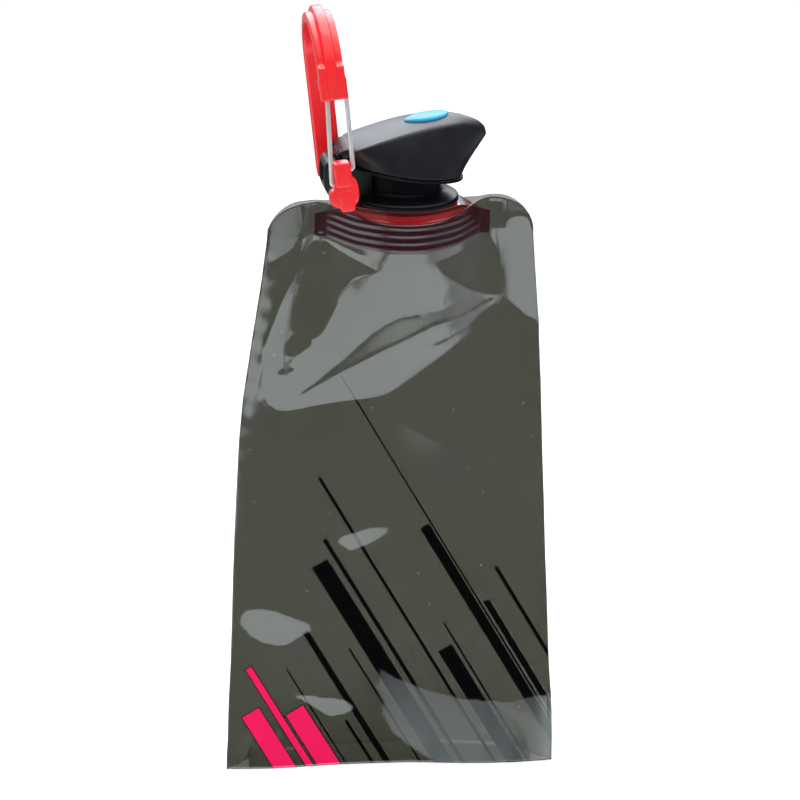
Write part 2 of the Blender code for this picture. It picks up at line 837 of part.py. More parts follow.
def footPoints(work):
    """The lobed foot that closes the lower end of the gate side."""
    neck = footNeck / mm
    outline = [(-1.9, -6.9), (1.9, -6.9), (2.3, -5.6), (4.3, -4.4), (4.9, -2.6), (4.7, -0.6), (3.6, 0.6),
               (neck, 1.4), (neck - 0.1, 5.0), (neck, 8.6), (neck - 0.4, 9.7), (neck - 1.0, 10.1),
               (1.0 - neck, 10.1), (0.4 - neck, 9.7), (-neck, 8.6), (0.1 - neck, 5.0), (-neck, 0.9),
               (-4.2, 0.2), (-4.8, -1.4), (-4.6, -3.4), (-2.4, -5.6)]
    scale = footHeight / 10.1
    near = []
    far = []
    for x, z in outline:
        near.append((x * mm, footInner - footThickness, z * scale))
        far.append((x * mm, footInner, z * scale))
    loftRings(work, [near, far])


foot = addFrameTool("frame_foot", footPoints)
footEdge = foot.modifiers.new("Edge", 'BEVEL')
footEdge.width = 0.5 * mm
footEdge.segments = 2
footEdge.limit_method = 'ANGLE'
footEdge.angle_limit = math.radians(60)
combine(frame, foot, 'UNION')

gateY = -frameHalfWidth - 0.1 * mm
gateTopY = -frameHalfWidth + 0.7 * mm
gateTop = arcCentre - 3.6 * mm


def nosePocket(work):
    boxAt(work, (-bodyWidth, gateTopY - wireRadius - restGap, arcCentre - noseLength - 1 * mm),
          (bodyWidth, 0, gateTop + wireRadius + 0.8 * mm))


combine(frame, addFrameTool("nose_pocket", nosePocket), 'DIFFERENCE')


def lowHookHole(work):
    cylinderAt(work, wireRadius + restGap, (-8 * mm, gateY, hookLow), (-0.6 * mm, gateY, hookLow),
               segments=20)


def highHookSlot(work):
    """A slot that lets the upper hook swing inward with the gate."""
    reach = wireRadius + restGap
    boxAt(work, (0.6 * mm, gateY - reach, hookHigh - 1.5 * mm),
          (8 * mm, footInner + 2 * mm, hookHigh + reach))


combine(frame, addFrameTool("low_hook_hole", lowHookHole), 'DIFFERENCE')
combine(frame, addFrameTool("high_hook_slot", highHookSlot), 'DIFFERENCE')


def wirePath():
    """Corner points of the gate wire, from its low hook over the top to its high hook."""
    corners = [(-1.2 * mm, gateY, hookLow), (-wireFoot, gateY, hookLow), (-wireSpread, gateTopY, gateTop),
               (wireSpread, gateTopY, gateTop), (wireFoot, gateY, hookHigh), (1.2 * mm, gateY, hookHigh)]
    bend = 1.0 * mm
    points = [Vector(corners[0])]
    for before, here, after in zip(corners, corners[1:], corners[2:]):
        here = Vector(here)
        toBefore = (Vector(before) - here).normalized() * bend
        toAfter = (Vector(after) - here).normalized() * bend
        for step in range(5):
            t = step / 4
            point = here + toBefore * (1 - t) ** 2 + toAfter * t ** 2
            points.append(point)
    points.append(Vector(corners[-1]))
    return points


def addWire():
    curve = bpy.data.curves.new("gate_wire", 'CURVE')
    curve.dimensions = '3D'
    spline = curve.splines.new('POLY')
    points = wirePath()
    spline.points.add(len(points) - 1)
    pivot = Vector((0, gateY, hookLow))
    for slot, point in zip(spline.points, points):
        slot.co = (*(point - pivot), 1.0)
    curve.bevel_depth = wireRadius
    curve.bevel_resolution = 3
    curve.use_fill_caps = True
    curve.materials.append(wireSteel)
    item = bpy.data.objects.new("gate_wire", curve)
    parts.objects.link(item)
    weld = item.modifiers.new("Weld", 'WELD')
    weld.merge_threshold = 0.00001
    turn = Matrix.Rotation(-frameLean, 4, 'Y')
    base = Vector((barX, 0, flangeZ + barRise))
    item.location = base + turn @ pivot
    item.rotation_euler = (0, -frameLean, 0)
    return item


addWire()
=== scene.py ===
# Looks of a collapsible water bag with a screw cap, a flip lid and a carabiner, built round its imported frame.
# Everything is in metres, the bag stands on z = 0, the lid points along +X and the front of the bag faces -Y.
import math

import bmesh
import bpy
import numpy as np
from mathutils import Matrix, Vector


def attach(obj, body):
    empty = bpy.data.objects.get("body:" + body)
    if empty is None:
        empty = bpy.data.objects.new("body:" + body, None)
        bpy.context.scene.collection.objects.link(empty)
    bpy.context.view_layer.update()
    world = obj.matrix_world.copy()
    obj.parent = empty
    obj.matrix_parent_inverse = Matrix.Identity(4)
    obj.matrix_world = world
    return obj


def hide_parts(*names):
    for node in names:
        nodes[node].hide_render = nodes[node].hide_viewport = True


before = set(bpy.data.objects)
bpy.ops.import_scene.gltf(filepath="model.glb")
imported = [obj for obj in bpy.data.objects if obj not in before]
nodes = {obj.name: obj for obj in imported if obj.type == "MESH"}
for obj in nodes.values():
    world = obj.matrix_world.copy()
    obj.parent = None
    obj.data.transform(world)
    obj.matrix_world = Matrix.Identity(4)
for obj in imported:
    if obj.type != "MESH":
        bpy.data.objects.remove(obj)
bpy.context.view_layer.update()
mm = 0.001
print("frame loaded:", len(nodes), "CAD nodes")


# Camera first, at the angle of the photograph

cameraSet = {
    "azimuth": -10.0,
    "elevation": 19.484,
    "roll": 1.727,
    "distance": 1.2,
    "target": (0.001063, 0.0, 0.138398),
    "lens": 151.34,
}


def makeCamera(values):
    azimuth = math.radians(values["azimuth"])
    elevation = math.radians(values["elevation"])
    roll = math.radians(values["roll"])
    back = Vector((math.sin(azimuth) * math.cos(elevation), -math.cos(azimuth) * math.cos(elevation),
                   math.sin(elevation)))
    level = Vector((math.cos(azimuth), math.sin(azimuth), 0))
    rise = back.cross(level)
    right = level * math.cos(roll) + rise * math.sin(roll)
    up = rise * math.cos(roll) - level * math.sin(roll)
    data = bpy.data.cameras.new("productCamera")
    data.lens = values["lens"]
    data.sensor_width = 36
    data.clip_start = 0.05
    data.clip_end = 50
    camera = bpy.data.objects.new("productCamera", data)
    bpy.context.scene.collection.objects.link(camera)
    turn = Matrix((right, up, back)).transposed().to_4x4()
    camera.matrix_world = Matrix.Translation(Vector(values["target"]) + back * values["distance"]) @ turn
    bpy.context.scene.camera = camera


makeCamera(cameraSet)
print("camera placed")


# Node helpers

def wire(tree, source, target):
    tree.links.new(source, target)


# Sets a socket to a number or a colour, or links another socket to it
def feed(tree, socket, value):
    if isinstance(value, (int, float)):
        socket.default_value = value
    elif isinstance(value, tuple):
        socket.default_value = (*value, 1.0)
    else:
        tree.links.new(value, socket)


def mathNode(tree, operation, *values):
    node = tree.nodes.new("ShaderNodeMath")
    node.operation = operation
    for slot, value in enumerate(values):
        feed(tree, node.inputs[slot], value)
    return node.outputs[0]


def product(tree, first, *others):
    for other in others:
        first = mathNode(tree, 'MULTIPLY', first, other)
    return first


def mapRange(tree, value, low, high, toLow=0.0, toHigh=1.0, smooth=False):
    node = tree.nodes.new("ShaderNodeMapRange")
    if smooth:
        node.interpolation_type = 'SMOOTHSTEP'
    tree.links.new(value, node.inputs["Value"])
    node.inputs["From Min"].default_value = low
    node.inputs["From Max"].default_value = high
    node.inputs["To Min"].default_value = toLow
    node.inputs["To Max"].default_value = toHigh
    return node.outputs["Result"]


# Smoothly from 0 at one value to 1 at the other
def fade(tree, value, off, on):
    return mapRange(tree, value, off, on, smooth=True)


def mixColour(tree, factor, first, second):
    node = tree.nodes.new("ShaderNodeMix")
    node.data_type = 'RGBA'
    for slot, value in ((0, factor), (6, first), (7, second)):
        feed(tree, node.inputs[slot], value)
    return node.outputs[2]


def mixValue(tree, factor, first, second):
    node = tree.nodes.new("ShaderNodeMix")
    node.data_type = 'FLOAT'
    for slot, value in ((0, factor), (2, first), (3, second)):
        feed(tree, node.inputs[slot], value)
    return node.outputs[0]


def noise(tree, vector, scale, detail, roughness=0.55):
    node = tree.nodes.new("ShaderNodeTexNoise")
    for name, value in (("Vector", vector), ("Scale", scale), ("Detail", detail), ("Roughness", roughness)):
        feed(tree, node.inputs[name], value)
    return node.outputs["Fac"]


def objectPoint(tree):
    return tree.nodes.new("ShaderNodeTexCoord").outputs["Object"]


# The three coordinates of a point, each a socket by its name
def axesOf(tree, point):
    node = tree.nodes.new("ShaderNodeSeparateXYZ")
    wire(tree, point, node.inputs[0])
    return node.outputs


def bump(tree, height, distance, strength):
    node = tree.nodes.new("ShaderNodeBump")
    for name, value in (("Height", height), ("Distance", distance), ("Strength", strength)):
        feed(tree, node.inputs[name], value)
    return node.outputs["Normal"]


def newMaterial(name):
    material = bpy.data.materials.new(name)
    material.use_nodes = True
    return material, material.node_tree, material.node_tree.nodes["Principled BSDF"]


shaderSockets = {
    "colour": "Base Color", "roughness": "Roughness", "metallic": "Metallic",
    "specular": "Specular IOR Level", "ior": "IOR", "alpha": "Alpha",
    "coat": "Coat Weight", "coatRoughness": "Coat Roughness",
}


def setShader(tree, shader, **values):
    for key, value in values.items():
        feed(tree, shader.inputs[shaderSockets[key]], value)


# A node group whose inputs are numbers, given with their defaults, and whose outputs are numbers too
def groupWith(name, inputs, outputs):
    group = bpy.data.node_groups.new(name, "ShaderNodeTree")
    for label, value in inputs.items():
        socket = group.interface.new_socket(name=label, in_out='INPUT', socket_type='NodeSocketFloat')
        socket.default_value = value
    for label in outputs:
        group.interface.new_socket(name=label, in_out='OUTPUT', socket_type='NodeSocketFloat')
    return group, group.nodes.new("NodeGroupInput"), group.nodes.new("NodeGroupOutput")


# Moulded grain for every plastic: a fine height, a soft mottling and scuffs that run across the part
mouldGrain, grainIn, grainOut = groupWith("mouldGrain", {"Scale": 900.0}, ["Height", "Mottle", "Scuff"])
grainPoint = objectPoint(mouldGrain)
fineGrain = noise(mouldGrain, grainPoint, grainIn.outputs["Scale"], 2.0, 0.5)
wire(mouldGrain, fineGrain, grainOut.inputs["Height"])
wire(mouldGrain, noise(mouldGrain, grainPoint, 140.0, 4.0), grainOut.inputs["Mottle"])
scuffStretch = mouldGrain.nodes.new("ShaderNodeMapping")
scuffStretch.inputs["Scale"].default_value = (1.0, 1.0, 6.0)
wire(mouldGrain, grainPoint, scuffStretch.inputs["Vector"])
scuffs = noise(mouldGrain, scuffStretch.outputs["Vector"], 260.0, 5.0, 0.7)
wire(mouldGrain, mapRange(mouldGrain, scuffs, 0.62, 0.74), grainOut.inputs["Scuff"])


def placeGroup(tree, group, **values):
    node = tree.nodes.new("ShaderNodeGroup")
    node.node_tree = group
    for name, value in values.items():
        node.inputs[name].default_value = value
    return node


def plastic(name, colour, deep, roughness, grainDepth=0.00002, grainScale=900.0, **shine):
    material, tree, shader = newMaterial(name)
    setShader(tree, shader, **shine)
    grain = placeGroup(tree, mouldGrain, Scale=grainScale).outputs
    tone = mapRange(tree, grain["Mottle"], 0.35, 0.65)
    wire(tree, mixColour(tree, tone, deep, colour), shader.inputs["Base Color"])
    rough = mathNode(tree, 'MULTIPLY_ADD', grain["Mottle"], 0.10, roughness - 0.05)
    rough = mathNode(tree, 'MULTIPLY_ADD', grain["Scuff"], 0.10, rough)
    wire(tree, rough, shader.inputs["Roughness"])
    wire(tree, bump(tree, grain["Height"], grainDepth, 0.5), shader.inputs["Normal"])
    return material


# Painted shadow: the top of the spout's wall is darkened by height, standing for the shadow of the cap's flange
capShadowBand = {"start": 211.1 * mm, "full": 212.2 * mm, "end": 212.85 * mm, "top": 213.0 * mm,
           "colour": (0.030, 0.002, 0.003)}


def paintCapShadow(material):
    tree = material.node_tree
    base = tree.nodes["Principled BSDF"].inputs["Base Color"]
    height = axesOf(tree, objectPoint(tree))["Z"]
    # painted shadow band of the cap's flange on the spout's wall, by height
    step = product(tree, fade(tree, height, capShadowBand["start"], capShadowBand["full"]),
                   mapRange(tree, height, capShadowBand["end"], capShadowBand["top"], 1.0, 0.0))
    wire(tree, mixColour(tree, step, base.links[0].from_socket, capShadowBand["colour"]), base)


# Each plastic with its colour, its colour in the mottling, and its roughness
redPlastic = plastic("redPlastic", (0.92, 0.020, 0.026), (0.88, 0.016, 0.022), 0.30, coat=0.6,
                     coatRoughness=0.22)
# spoutRed is a darker copy of the red plastic: painted shade for the spout lying under the cap's flange
spoutRed = plastic("spoutRed", (0.34, 0.008, 0.011), (0.28, 0.006, 0.009), 0.24, coat=0.7,
                   coatRoughness=0.10)
# paints the flange's shadow onto the spout's top edge
paintCapShadow(spoutRed)
# blackGloss is darker than blackSatin partly for its own finish and partly as painted shade of the waist and
# flange under the lid
blackGloss = plastic("blackGloss", (0.0035, 0.004, 0.005), (0.0025, 0.003, 0.004), 0.30, specular=0.14)
blackSatin = plastic("blackSatin", (0.0125, 0.0137, 0.0165), (0.0095, 0.0105, 0.0130), 0.38, 0.00003, 1400.0,
                     specular=0.5)
clearSoft = plastic("clearSoft", (0.62, 0.66, 0.68), (0.55, 0.60, 0.62), 0.30, coat=0.2)
blueSoft = plastic("blueSoft", (0.028, 0.38, 0.66), (0.022, 0.35, 0.61), 0.32, 0.000008, specular=0.35)
wireSteel = plastic("wireSteel", (0.84, 0.84, 0.84), (0.76, 0.76, 0.77), 0.30, 0.000006, metallic=0.5)


# The film: dark smoke foil with a printed stripe pattern. Plain lengths are in mm from here on

filmSet = {
    "thickness": 0.25 * mm, "smoke": (0.0180, 0.0200, 0.0015), "hideFront": 0.84, "hideBack": 0.76,
    "dust": (0.42, 0.43, 0.40), "black": (0.0015, 0.0016, 0.002), "pink": (1.0, 0.016, 0.13),
    "stripeTurn": 31.0, "height": 213.5, "columns": 150, "rowHeight": 0.8, "fineFrom": 196, "fineRow": 0.42,
    "cornerRadius": 12.0, "dip": 4.1, "frameDepth": 0.32, "sideWaves": 0.07, "sideGap": 0.5, "panelGap": 0.55,
}
# The weld over the spout: it is level to "straight", narrows to "end", and has ribs between its two edges.
# The boat-shaped body under it reaches to "reach" and is "deepest" in its middle.
weldSet = {
    "straight": 17, "end": 31, "low": 198.6, "lowEnd": 200.6, "high": 213.3, "highEnd": 208.6,
    "tintHigh": 213.8, "tint": (0.0255, 0.0055, 0.0105), "roughness": 0.22, "coat": 0.40,
    "reach": 29.0, "deepest": 18.0, "thinnest": 0.9, "gap": 0.85, "tab": 1.4,
    "ribPitch": 2.65, "ribHeight": 0.17,
}

# Stripes as (left, right, start), across and along a direction 31 degrees off the vertical
stripes = [(58.65, 59.25, -139.3), (54.5, 58.2, -74.0), (13.6, 20.1, -80.9), (22.2, 23.7, -88.0),
           (32.5, 33.7, -109.2), (-1.95, 0.35, -61.1), (-14.2, -13.6, -51.9), (9.1, 9.85, -46.9),
           (-6.2, -5.0, -23.1), (36.7, 42.2, -29.1), (43.5, 44.2, -37.4), (60.2, 62.4, -36.7),
           (69.9, 71.3, -46.0)]
pinkStripes = [(-26.7, -24.4, -59.2), (-37.1, -30.0, -44.7), (-23.1, -15.8, -36.8)]
pinkEdge = 0.35  # the pink bars have a thin dark outline
stripes += [(left - pinkEdge, right + pinkEdge, start - pinkEdge) for left, right, start in pinkStripes]

stripePrint, _, stripeOut = groupWith("stripePrint", {}, ["Black", "Pink"])
stripeAxes = axesOf(stripePrint, objectPoint(stripePrint))


def stripeMask(tree, bars):
    turn = math.radians(filmSet["stripeTurn"])
    x = mathNode(tree, 'MULTIPLY', stripeAxes["X"], 1000.0)
    z = mathNode(tree, 'MULTIPLY', stripeAxes["Z"], 1000.0)
    across = mathNode(tree, 'MULTIPLY_ADD', z, math.sin(turn), mathNode(tree, 'MULTIPLY', x, math.cos(turn)))
    along = mathNode(tree, 'MULTIPLY_ADD', z, -math.cos(turn), mathNode(tree, 'MULTIPLY', x, math.sin(turn)))
    total = None
    for low, high, start in bars:
        inBar = mathNode(tree, 'COMPARE', across, (low + high) / 2, (high - low) / 2)
        bar = product(tree, inBar, mathNode(tree, 'GREATER_THAN', along, start))
        total = bar if total is None else mathNode(tree, 'MAXIMUM', total, bar)
    return total


wire(stripePrint, stripeMask(stripePrint, stripes), stripeOut.inputs["Black"])
wire(stripePrint, stripeMask(stripePrint, pinkStripes), stripeOut.inputs["Pink"])


# Where the film is welded down on the red spout; there its colour is tinted dark red, partly for the spout's
# red and partly as painted shade
def weldMask(tree, point):
    axes = axesOf(tree, point)
    side = mathNode(tree, 'ABSOLUTE', axes["X"])
    straight, end = weldSet["straight"] * mm, weldSet["end"] * mm
    low = mapRange(tree, side, straight, end, weldSet["low"] * mm, weldSet["lowEnd"] * mm, True)
    high = mapRange(tree, side, straight, end, weldSet["tintHigh"] * mm, weldSet["highEnd"] * mm, True)
    over = mapRange(tree, mathNode(tree, 'SUBTRACT', axes["Z"], low), -0.2 * mm, 0.3 * mm)
    under = mapRange(tree, mathNode(tree, 'SUBTRACT', high, axes["Z"]), -0.2 * mm, 0.3 * mm)
    inside = mapRange(tree, side, end, end + 0.4 * mm, 1.0, 0.0)
    return product(tree, over, under, inside)


def filmMaterial(name, printed):
    material, tree, shader = newMaterial(name)
    setShader(tree, shader, specular=1.0, ior=1.5, coatRoughness=0.03)
    point = objectPoint(tree)
    weld = weldMask(tree, point)
    wire(tree, mixValue(tree, weld, 0.03, weldSet["roughness"]), shader.inputs["Roughness"])
    wire(tree, mixValue(tree, weld, 1.0, weldSet["coat"]), shader.inputs["Coat Weight"])
    cloud = mapRange(tree, noise(tree, point, 38.0, 5.0, 0.6), 0.3, 0.7)
    smoke = filmSet["smoke"]
    colour = mixColour(tree, cloud, tuple(c * 0.8 for c in smoke), tuple(c * 1.25 for c in smoke))
    speckle = tree.nodes.new("ShaderNodeTexVoronoi")
    speckle.inputs["Scale"].default_value = 330.0
    wire(tree, point, speckle.inputs["Vector"])
    dot = mathNode(tree, 'LESS_THAN', speckle.outputs["Distance"], 0.07)
    lot = mathNode(tree, 'FRACT', mathNode(tree, 'MULTIPLY', speckle.outputs["Color"], 7.31))
    dust = product(tree, dot, mathNode(tree, 'GREATER_THAN', lot, 0.86), 0.55)
    colour = mixColour(tree, dust, colour, filmSet["dust"])
    # over the weld the film's colour turns dark red: partly the spout's red, partly painted shade
    colour = mixColour(tree, weld, colour, weldSet["tint"])
    cover = filmSet["hideFront"] if printed else filmSet["hideBack"]
    hide = mixValue(tree, cloud, cover - 0.008, cover + 0.008)
    if printed:
        bars = placeGroup(tree, stripePrint).outputs
        colour = mixColour(tree, bars["Black"], colour, filmSet["black"])
        colour = mixColour(tree, bars["Pink"], colour, filmSet["pink"])
        hide = mixValue(tree, mathNode(tree, 'MAXIMUM', bars["Black"], bars["Pink"]), hide, 1.0)
    wire(tree, colour, shader.inputs["Base Color"])
    wire(tree, hide, shader.inputs["Alpha"])
    wire(tree, bump(tree, noise(tree, point, 160.0, 2.0), 0.000006, 0.4), shader.inputs["Normal"])
    return material


# The gusset's film is smoky under a low arch along its front foot, and clear where the panels hide it
gussetSet = {
    "smoke": 0.36, "clear": 0.02, "archFull": 7.6 * mm, "archEnd": 9.0 * mm, "archBend": 1.3,
    "front": -1.5 * mm, "back": 0.5 * mm, "fold": 26.0, "half": 53.0, "inset": 0.6, "margin": 10, "rows": 23,
}


def gussetMaterial():
    material, tree, shader = newMaterial("gussetFilm")
    setShader(tree, shader, colour=(0.06, 0.065, 0.05), roughness=0.3, specular=0.0)
    axes = axesOf(tree, objectPoint(tree))
    arch = product(tree, axes["X"], axes["X"])
    arch = mathNode(tree, 'MULTIPLY_ADD', arch, gussetSet["archBend"], axes["Z"])
    arch = mapRange(tree, arch, gussetSet["archFull"], gussetSet["archEnd"], gussetSet["smoke"], 0.0, True)
    foot = product(tree, arch, mapRange(tree, axes["Y"], gussetSet["front"], gussetSet["back"], 1.0, 0.0))
    wire(tree, mathNode(tree, 'ADD', foot, gussetSet["clear"]), shader.inputs["Alpha"])
    return material


# The foil's inner side is left clear, so that each panel hides what is behind it only once
def insideMaterial():
    material, tree, shader = newMaterial("filmInside")
    setShader(tree, shader, colour=(0.03, 0.034, 0.016), roughness=0.1, alpha=0.0)
    return material


smokeFilm = filmMaterial("smokeFilm", True)
plainFilm = filmMaterial("plainFilm", False)
filmInside = insideMaterial()
gussetFilm = gussetMaterial()
print("materials made")


# The film panels

leftEdge = [(0, -60.4), (5, -60.4), (11, -60.0), (25.8, -59.5), (40.8, -58.7), (71.4, -58.1), (102, -57.3),
            (125, -56.6), (140.5, -55.5), (163.5, -52.8), (186, -49.9), (200.7, -48.4), (216, -47.4)]
rightEdge = [(0, 59.8), (8.3, 59.4), (25.2, 58.0), (39.9, 57.2), (68.8, 56.4), (98.8, 54.9), (121.7, 53.5),
             (144.5, 52.1), (167.4, 50.2), (190.6, 47.3), (200, 46.2), (216, 45.4)]
# How far the welded side edges stand toward the front, by height
leftForward = [(0, 8.3), (8, 7.2), (20, 4.8), (45, 1.6), (90, -0.6), (140, 1.0), (175, 4.2), (195, 5.6),
               (205, 5.2), (216, 4.0)]
rightForward = [(0, 12.6), (8, 13.3), (20, 14.6), (27, 14.8), (45, 10.5), (75, 3.6), (110, 0.6),
                (150, -0.2), (172, 1.0), (200, 4.2), (207, 4.2), (216, 3.2)]
bottomForward = [(-60, 7.6), (-57.5, 8.3), (-43, 9.3), (-35, 9.0), (-24, 8.5), (-17, 8.4), (-6, 8.7),
                 (7, 9.2), (25, 11.8), (35, 12.9), (46, 13.3), (57, 12.8), (60, 12.3)]
bottomBack = [(-60, -7.0), (-56, -4.5), (-50, 2.0), (-40, 7.5), (-20, 9.2), (0, 9.4), (20, 9.0),
              (40, 5.5), (50, -1.5), (56, -9.0), (60, -11.6)]

# The two edges of the ridge in the chamber under the spout, as (x, z)
ridgeTop = [(-38.1, 140.2), (-30.7, 146.3), (-20.3, 156.5), (-11.6, 166.6), (-6.4, 171.3), (-1.1, 174.1),
            (4.2, 174.7)]
ridgeFoot = [(-34.2, 141.6), (-25.4, 147.3), (-14.9, 154.4), (-6.1, 160.5), (2.7, 165.1), (9.7, 168.7),
             (24.0, 172.0), (34.6, 176.9)]
# Facets pressed into the film, as outlines (x, z), with their slope and how firmly they hold it
facets = [
    ("chamberSlope", 0.24, 1.0, [
        (-9.1, 195.1), (4.3, 194.1), (9.3, 194.3), (9.7, 192.1), (14.9, 186.5), (23.3, 181.2),
        (28.7, 179.2), (35.6, 177.9), (31.8, 174.3), (27.2, 171.5), (22.0, 165.3), (14.4, 159.2),
        (8.0, 154.9), (0.3, 149.1), (-1.7, 145.6), (-6.0, 143.0), (-16.7, 140.0), (-29.1, 137.4),
        (-39.7, 135.2), (-43.4, 135.3), (-46.8, 137.4), (-49.0, 141.3), (-50.2, 146.4), (-49.8, 154.2),
        (-47.6, 167.1), (-45.6, 174.4), (-43.6, 180.6), (-38.2, 188.1), (-36.1, 192.1), (-35.2, 200.4),
        (-30.4, 201.4), (-25.1, 199.1), (-14.4, 195.6)]),
    ("ridge", 0.072, 12.0, ridgeTop + [(16.6, 177.0), (22.0, 178.0)] + ridgeFoot[::-1]),
    ("leftPocket", -0.10, 6.0, [
        (-33.5, 197.2), (-30.7, 199.3), (-29.3, 196.4), (-27.6, 198.9), (-22.9, 196.2), (-10.8, 191.6),
        (-10.1, 190.9), (-16.8, 188.5), (-19.5, 186.3), (-23.6, 179.8), (-24.9, 174.3), (-27.6, 167.8),
        (-29.3, 164.9), (-32.5, 163.5), (-31.7, 161.6), (-38.0, 157.0), (-40.1, 157.0), (-40.6, 160.0),
        (-37.8, 165.8), (-36.7, 179.0), (-35.2, 192.9)]),
    ("leftDimple", -0.02, 6.0, [(-43.1, 150.1), (-42.1, 151.9), (-39.6, 152.6), (-37.1, 152.5),
                                (-37.4, 151.4), (-42.4, 149.3)]),
    ("lowerDimple", 0.03, 5.0, [(26.4, 170.1), (23.3, 166.1), (12.7, 160.8), (5.9, 160.6), (10.1, 162.4),
                                (17.2, 165.2)]),
    ("rightPocket", -0.12, 6.0, [(9.5, 194.5), (33, 197), (35, 190), (36.5, 178), (28, 180), (20, 184),
                                 (12, 190)]),
    ("rightSeal", 0.13, 3.0, [
        (30.2, 202.4), (35.6, 203.0), (36.9, 206.6), (40.8, 207.6), (44.1, 206.5), (45.7, 202.0),
        (48.7, 182.8), (50.4, 167.1), (46.0, 168.3), (43.0, 171.0), (36.7, 176.0), (35.7, 183.1),
        (33.8, 194.2), (31.5, 198.7)]),
    ("leftSeal", 0.055, 3.0, [
        (-42.9, 189.3), (-36.2, 188.4), (-37.2, 186.3), (-43.0, 177.6), (-47.6, 162.9), (-50.0, 146.2),
        (-51.0, 142.0), (-52.5, 143.5), (-50.4, 177.7), (-47.4, 185.0)]),
    ("lowRight", 0.011, 5.0, [
        (-5.6, 37.5), (-3.8, 37.8), (0.7, 34.8), (6.3, 32.2), (12.0, 30.3), (25.1, 26.9), (43.8, 25.2),
        (49.4, 26.6), (53.1, 27.2), (61.0, 26.5), (61.0, -2.4), (18.6, -1.5), (14.8, 0.3), (7.1, 5.6),
        (0.3, 11.2), (-2.1, 15.3), (-4.1, 19.4), (-3.4, 23.4), (-6.2, 30.3), (-4.8, 33.5)]),
    ("lowLeftDent", 0.09, 4.0, [
        (-55.0, 54.9), (-54.3, 60.0), (-49.6, 61.0), (-43.4, 60.3), (-36.8, 57.3), (-31.3, 55.1),
        (-30.1, 52.3), (-39.5, 45.6), (-46.8, 46.7), (-52.3, 50.1)]),
    ("middleDent", 0.09, 4.0, [
        (-20.6, 85.9), (-19.6, 88.6), (-14.9, 89.9), (-9.5, 92.0), (-4.1, 92.2), (-2.9, 90.2),
        (-9.4, 85.5), (-16.6, 82.6)]),
    ("bottomDent", 0.085, 4.0, [
        (-43.0, 28.7), (-33.8, 27.5), (-24.6, 26.7), (-17.2, 25.5), (-14.6, 23.0), (-15.2, 20.2),
        (-22.6, 18.2), (-33.8, 25.9)]),
    ("underChamber", 0.0, 4.0, [
        (-2.0, 144.5), (10, 154), (24, 164), (34, 172), (40, 170), (50, 160), (50, 125), (20, 122),
        (-2, 134)]),
    ("leftShoulder", 0.085, 3.0, [(-50, 192), (-44, 193), (-38, 197), (-36.5, 203), (-37, 214),
                                  (-50, 214)]),
    ("rightShoulder", 0.070, 3.0, [(36.2, 208.2), (41, 209), (46.5, 205), (48, 214), (36.5, 216)]),
]
# Creases as (height, width, line): the weld of the left chamber and the two edges of the ridge
creases = [
    (0.30, 0.8, [(-35.7, 189.3), (-38.4, 186.5), (-40.8, 182.1), (-42.8, 177.0), (-44.5, 171.2),
                 (-46.2, 166.1), (-48.4, 159.8), (-49.6, 152.8), (-50.1, 146.4), (-48.6, 140.4),
                 (-45.6, 135.6)]),
    (-0.07, 1.0, ridgeTop),
    (0.10, 1.0, ridgeFoot),
]
# Pressed frames beside the tabs, as left, right, low and high
pressedFrames = [(-35.7, -31.2, 204.3, 212.5), (31.0, 35.5, 203.4, 212.8)]


def smoothStep(value, low, high):
    t = np.clip((value - low) / (high - low), 0, 1)
    return t * t * (3 - 2 * t)


def along(table, value):
    return np.interp(value, [row[0] for row in table], [row[1] for row in table])


# Rows up the bag, closer together at the spout, and columns across it
def filmLattice():
    fine, height, radius = filmSet["fineFrom"], filmSet["height"], filmSet["cornerRadius"]
    heights = np.concatenate([np.arange(0, fine, filmSet["rowHeight"]),
                              np.arange(fine, height + 0.1, filmSet["fineRow"])])
    heights[-1] = height
    across = np.linspace(-1, 1, filmSet["columns"] + 1)
    s, v = np.meshgrid(across, heights)
    topX = np.where(s < 0, -s * along(leftEdge, height), s * along(rightEdge, height))
    dip = filmSet["dip"] * (1 - smoothStep(np.abs(topX), 8, 32))
    past = np.clip(np.abs(topX) - (36.0 - 2.4 * (topX > 0)), 0, radius - 0.1)
    top = 213.0 + 1.0 * smoothStep(topX, 20, 34) - dip - (radius - np.sqrt(radius ** 2 - past ** 2))
    z = v / height * top
    x = np.where(s < 0, -s * along(leftEdge, z), s * along(rightEdge, z))
    return x, z


def insideOutline(outline, x, z):
    found = np.zeros(x.shape, bool)
    for (x0, z0), (x1, z1) in zip(outline, outline[1:] + outline[:1]):
        if z0 != z1:
            crosses = (z0 > z) != (z1 > z)
            found ^= crosses & (x < x0 + (z - z0) * (x1 - x0) / (z1 - z0))
    return found


# Small marks of the sealing bars: the weld's bead, the pressed frames and the uneven side seals
def sealMarks(x, z):
    marks = np.zeros_like(x)
    for height, width, line in creases:
        away = np.full(x.shape, 99.0)
        for (x0, z0), (x1, z1) in zip(line, line[1:]):
            run, rise = x1 - x0, z1 - z0
            t = np.clip(((x - x0) * run + (z - z0) * rise) / (run * run + rise * rise), 0, 1)
            away = np.minimum(away, np.hypot(x - x0 - t * run, z - z0 - t * rise))
        marks += height * np.exp(-(away / width) ** 2)
    for left, right, low, high in pressedFrames:
        inside = np.minimum(np.minimum(x - left, right - x), np.minimum(z - low, high - z))
        marks -= filmSet["frameDepth"] * smoothStep(inside, -0.3, 0.5)
    sides = smoothStep(np.abs(x), 44, 48) * smoothStep(z, 90, 140) * (1 - smoothStep(z, 196, 206))
    return marks + filmSet["sideWaves"] * sides * np.sin(0.50 * z + 0.8 * x) * np.sin(0.23 * z - 0.5 * x)


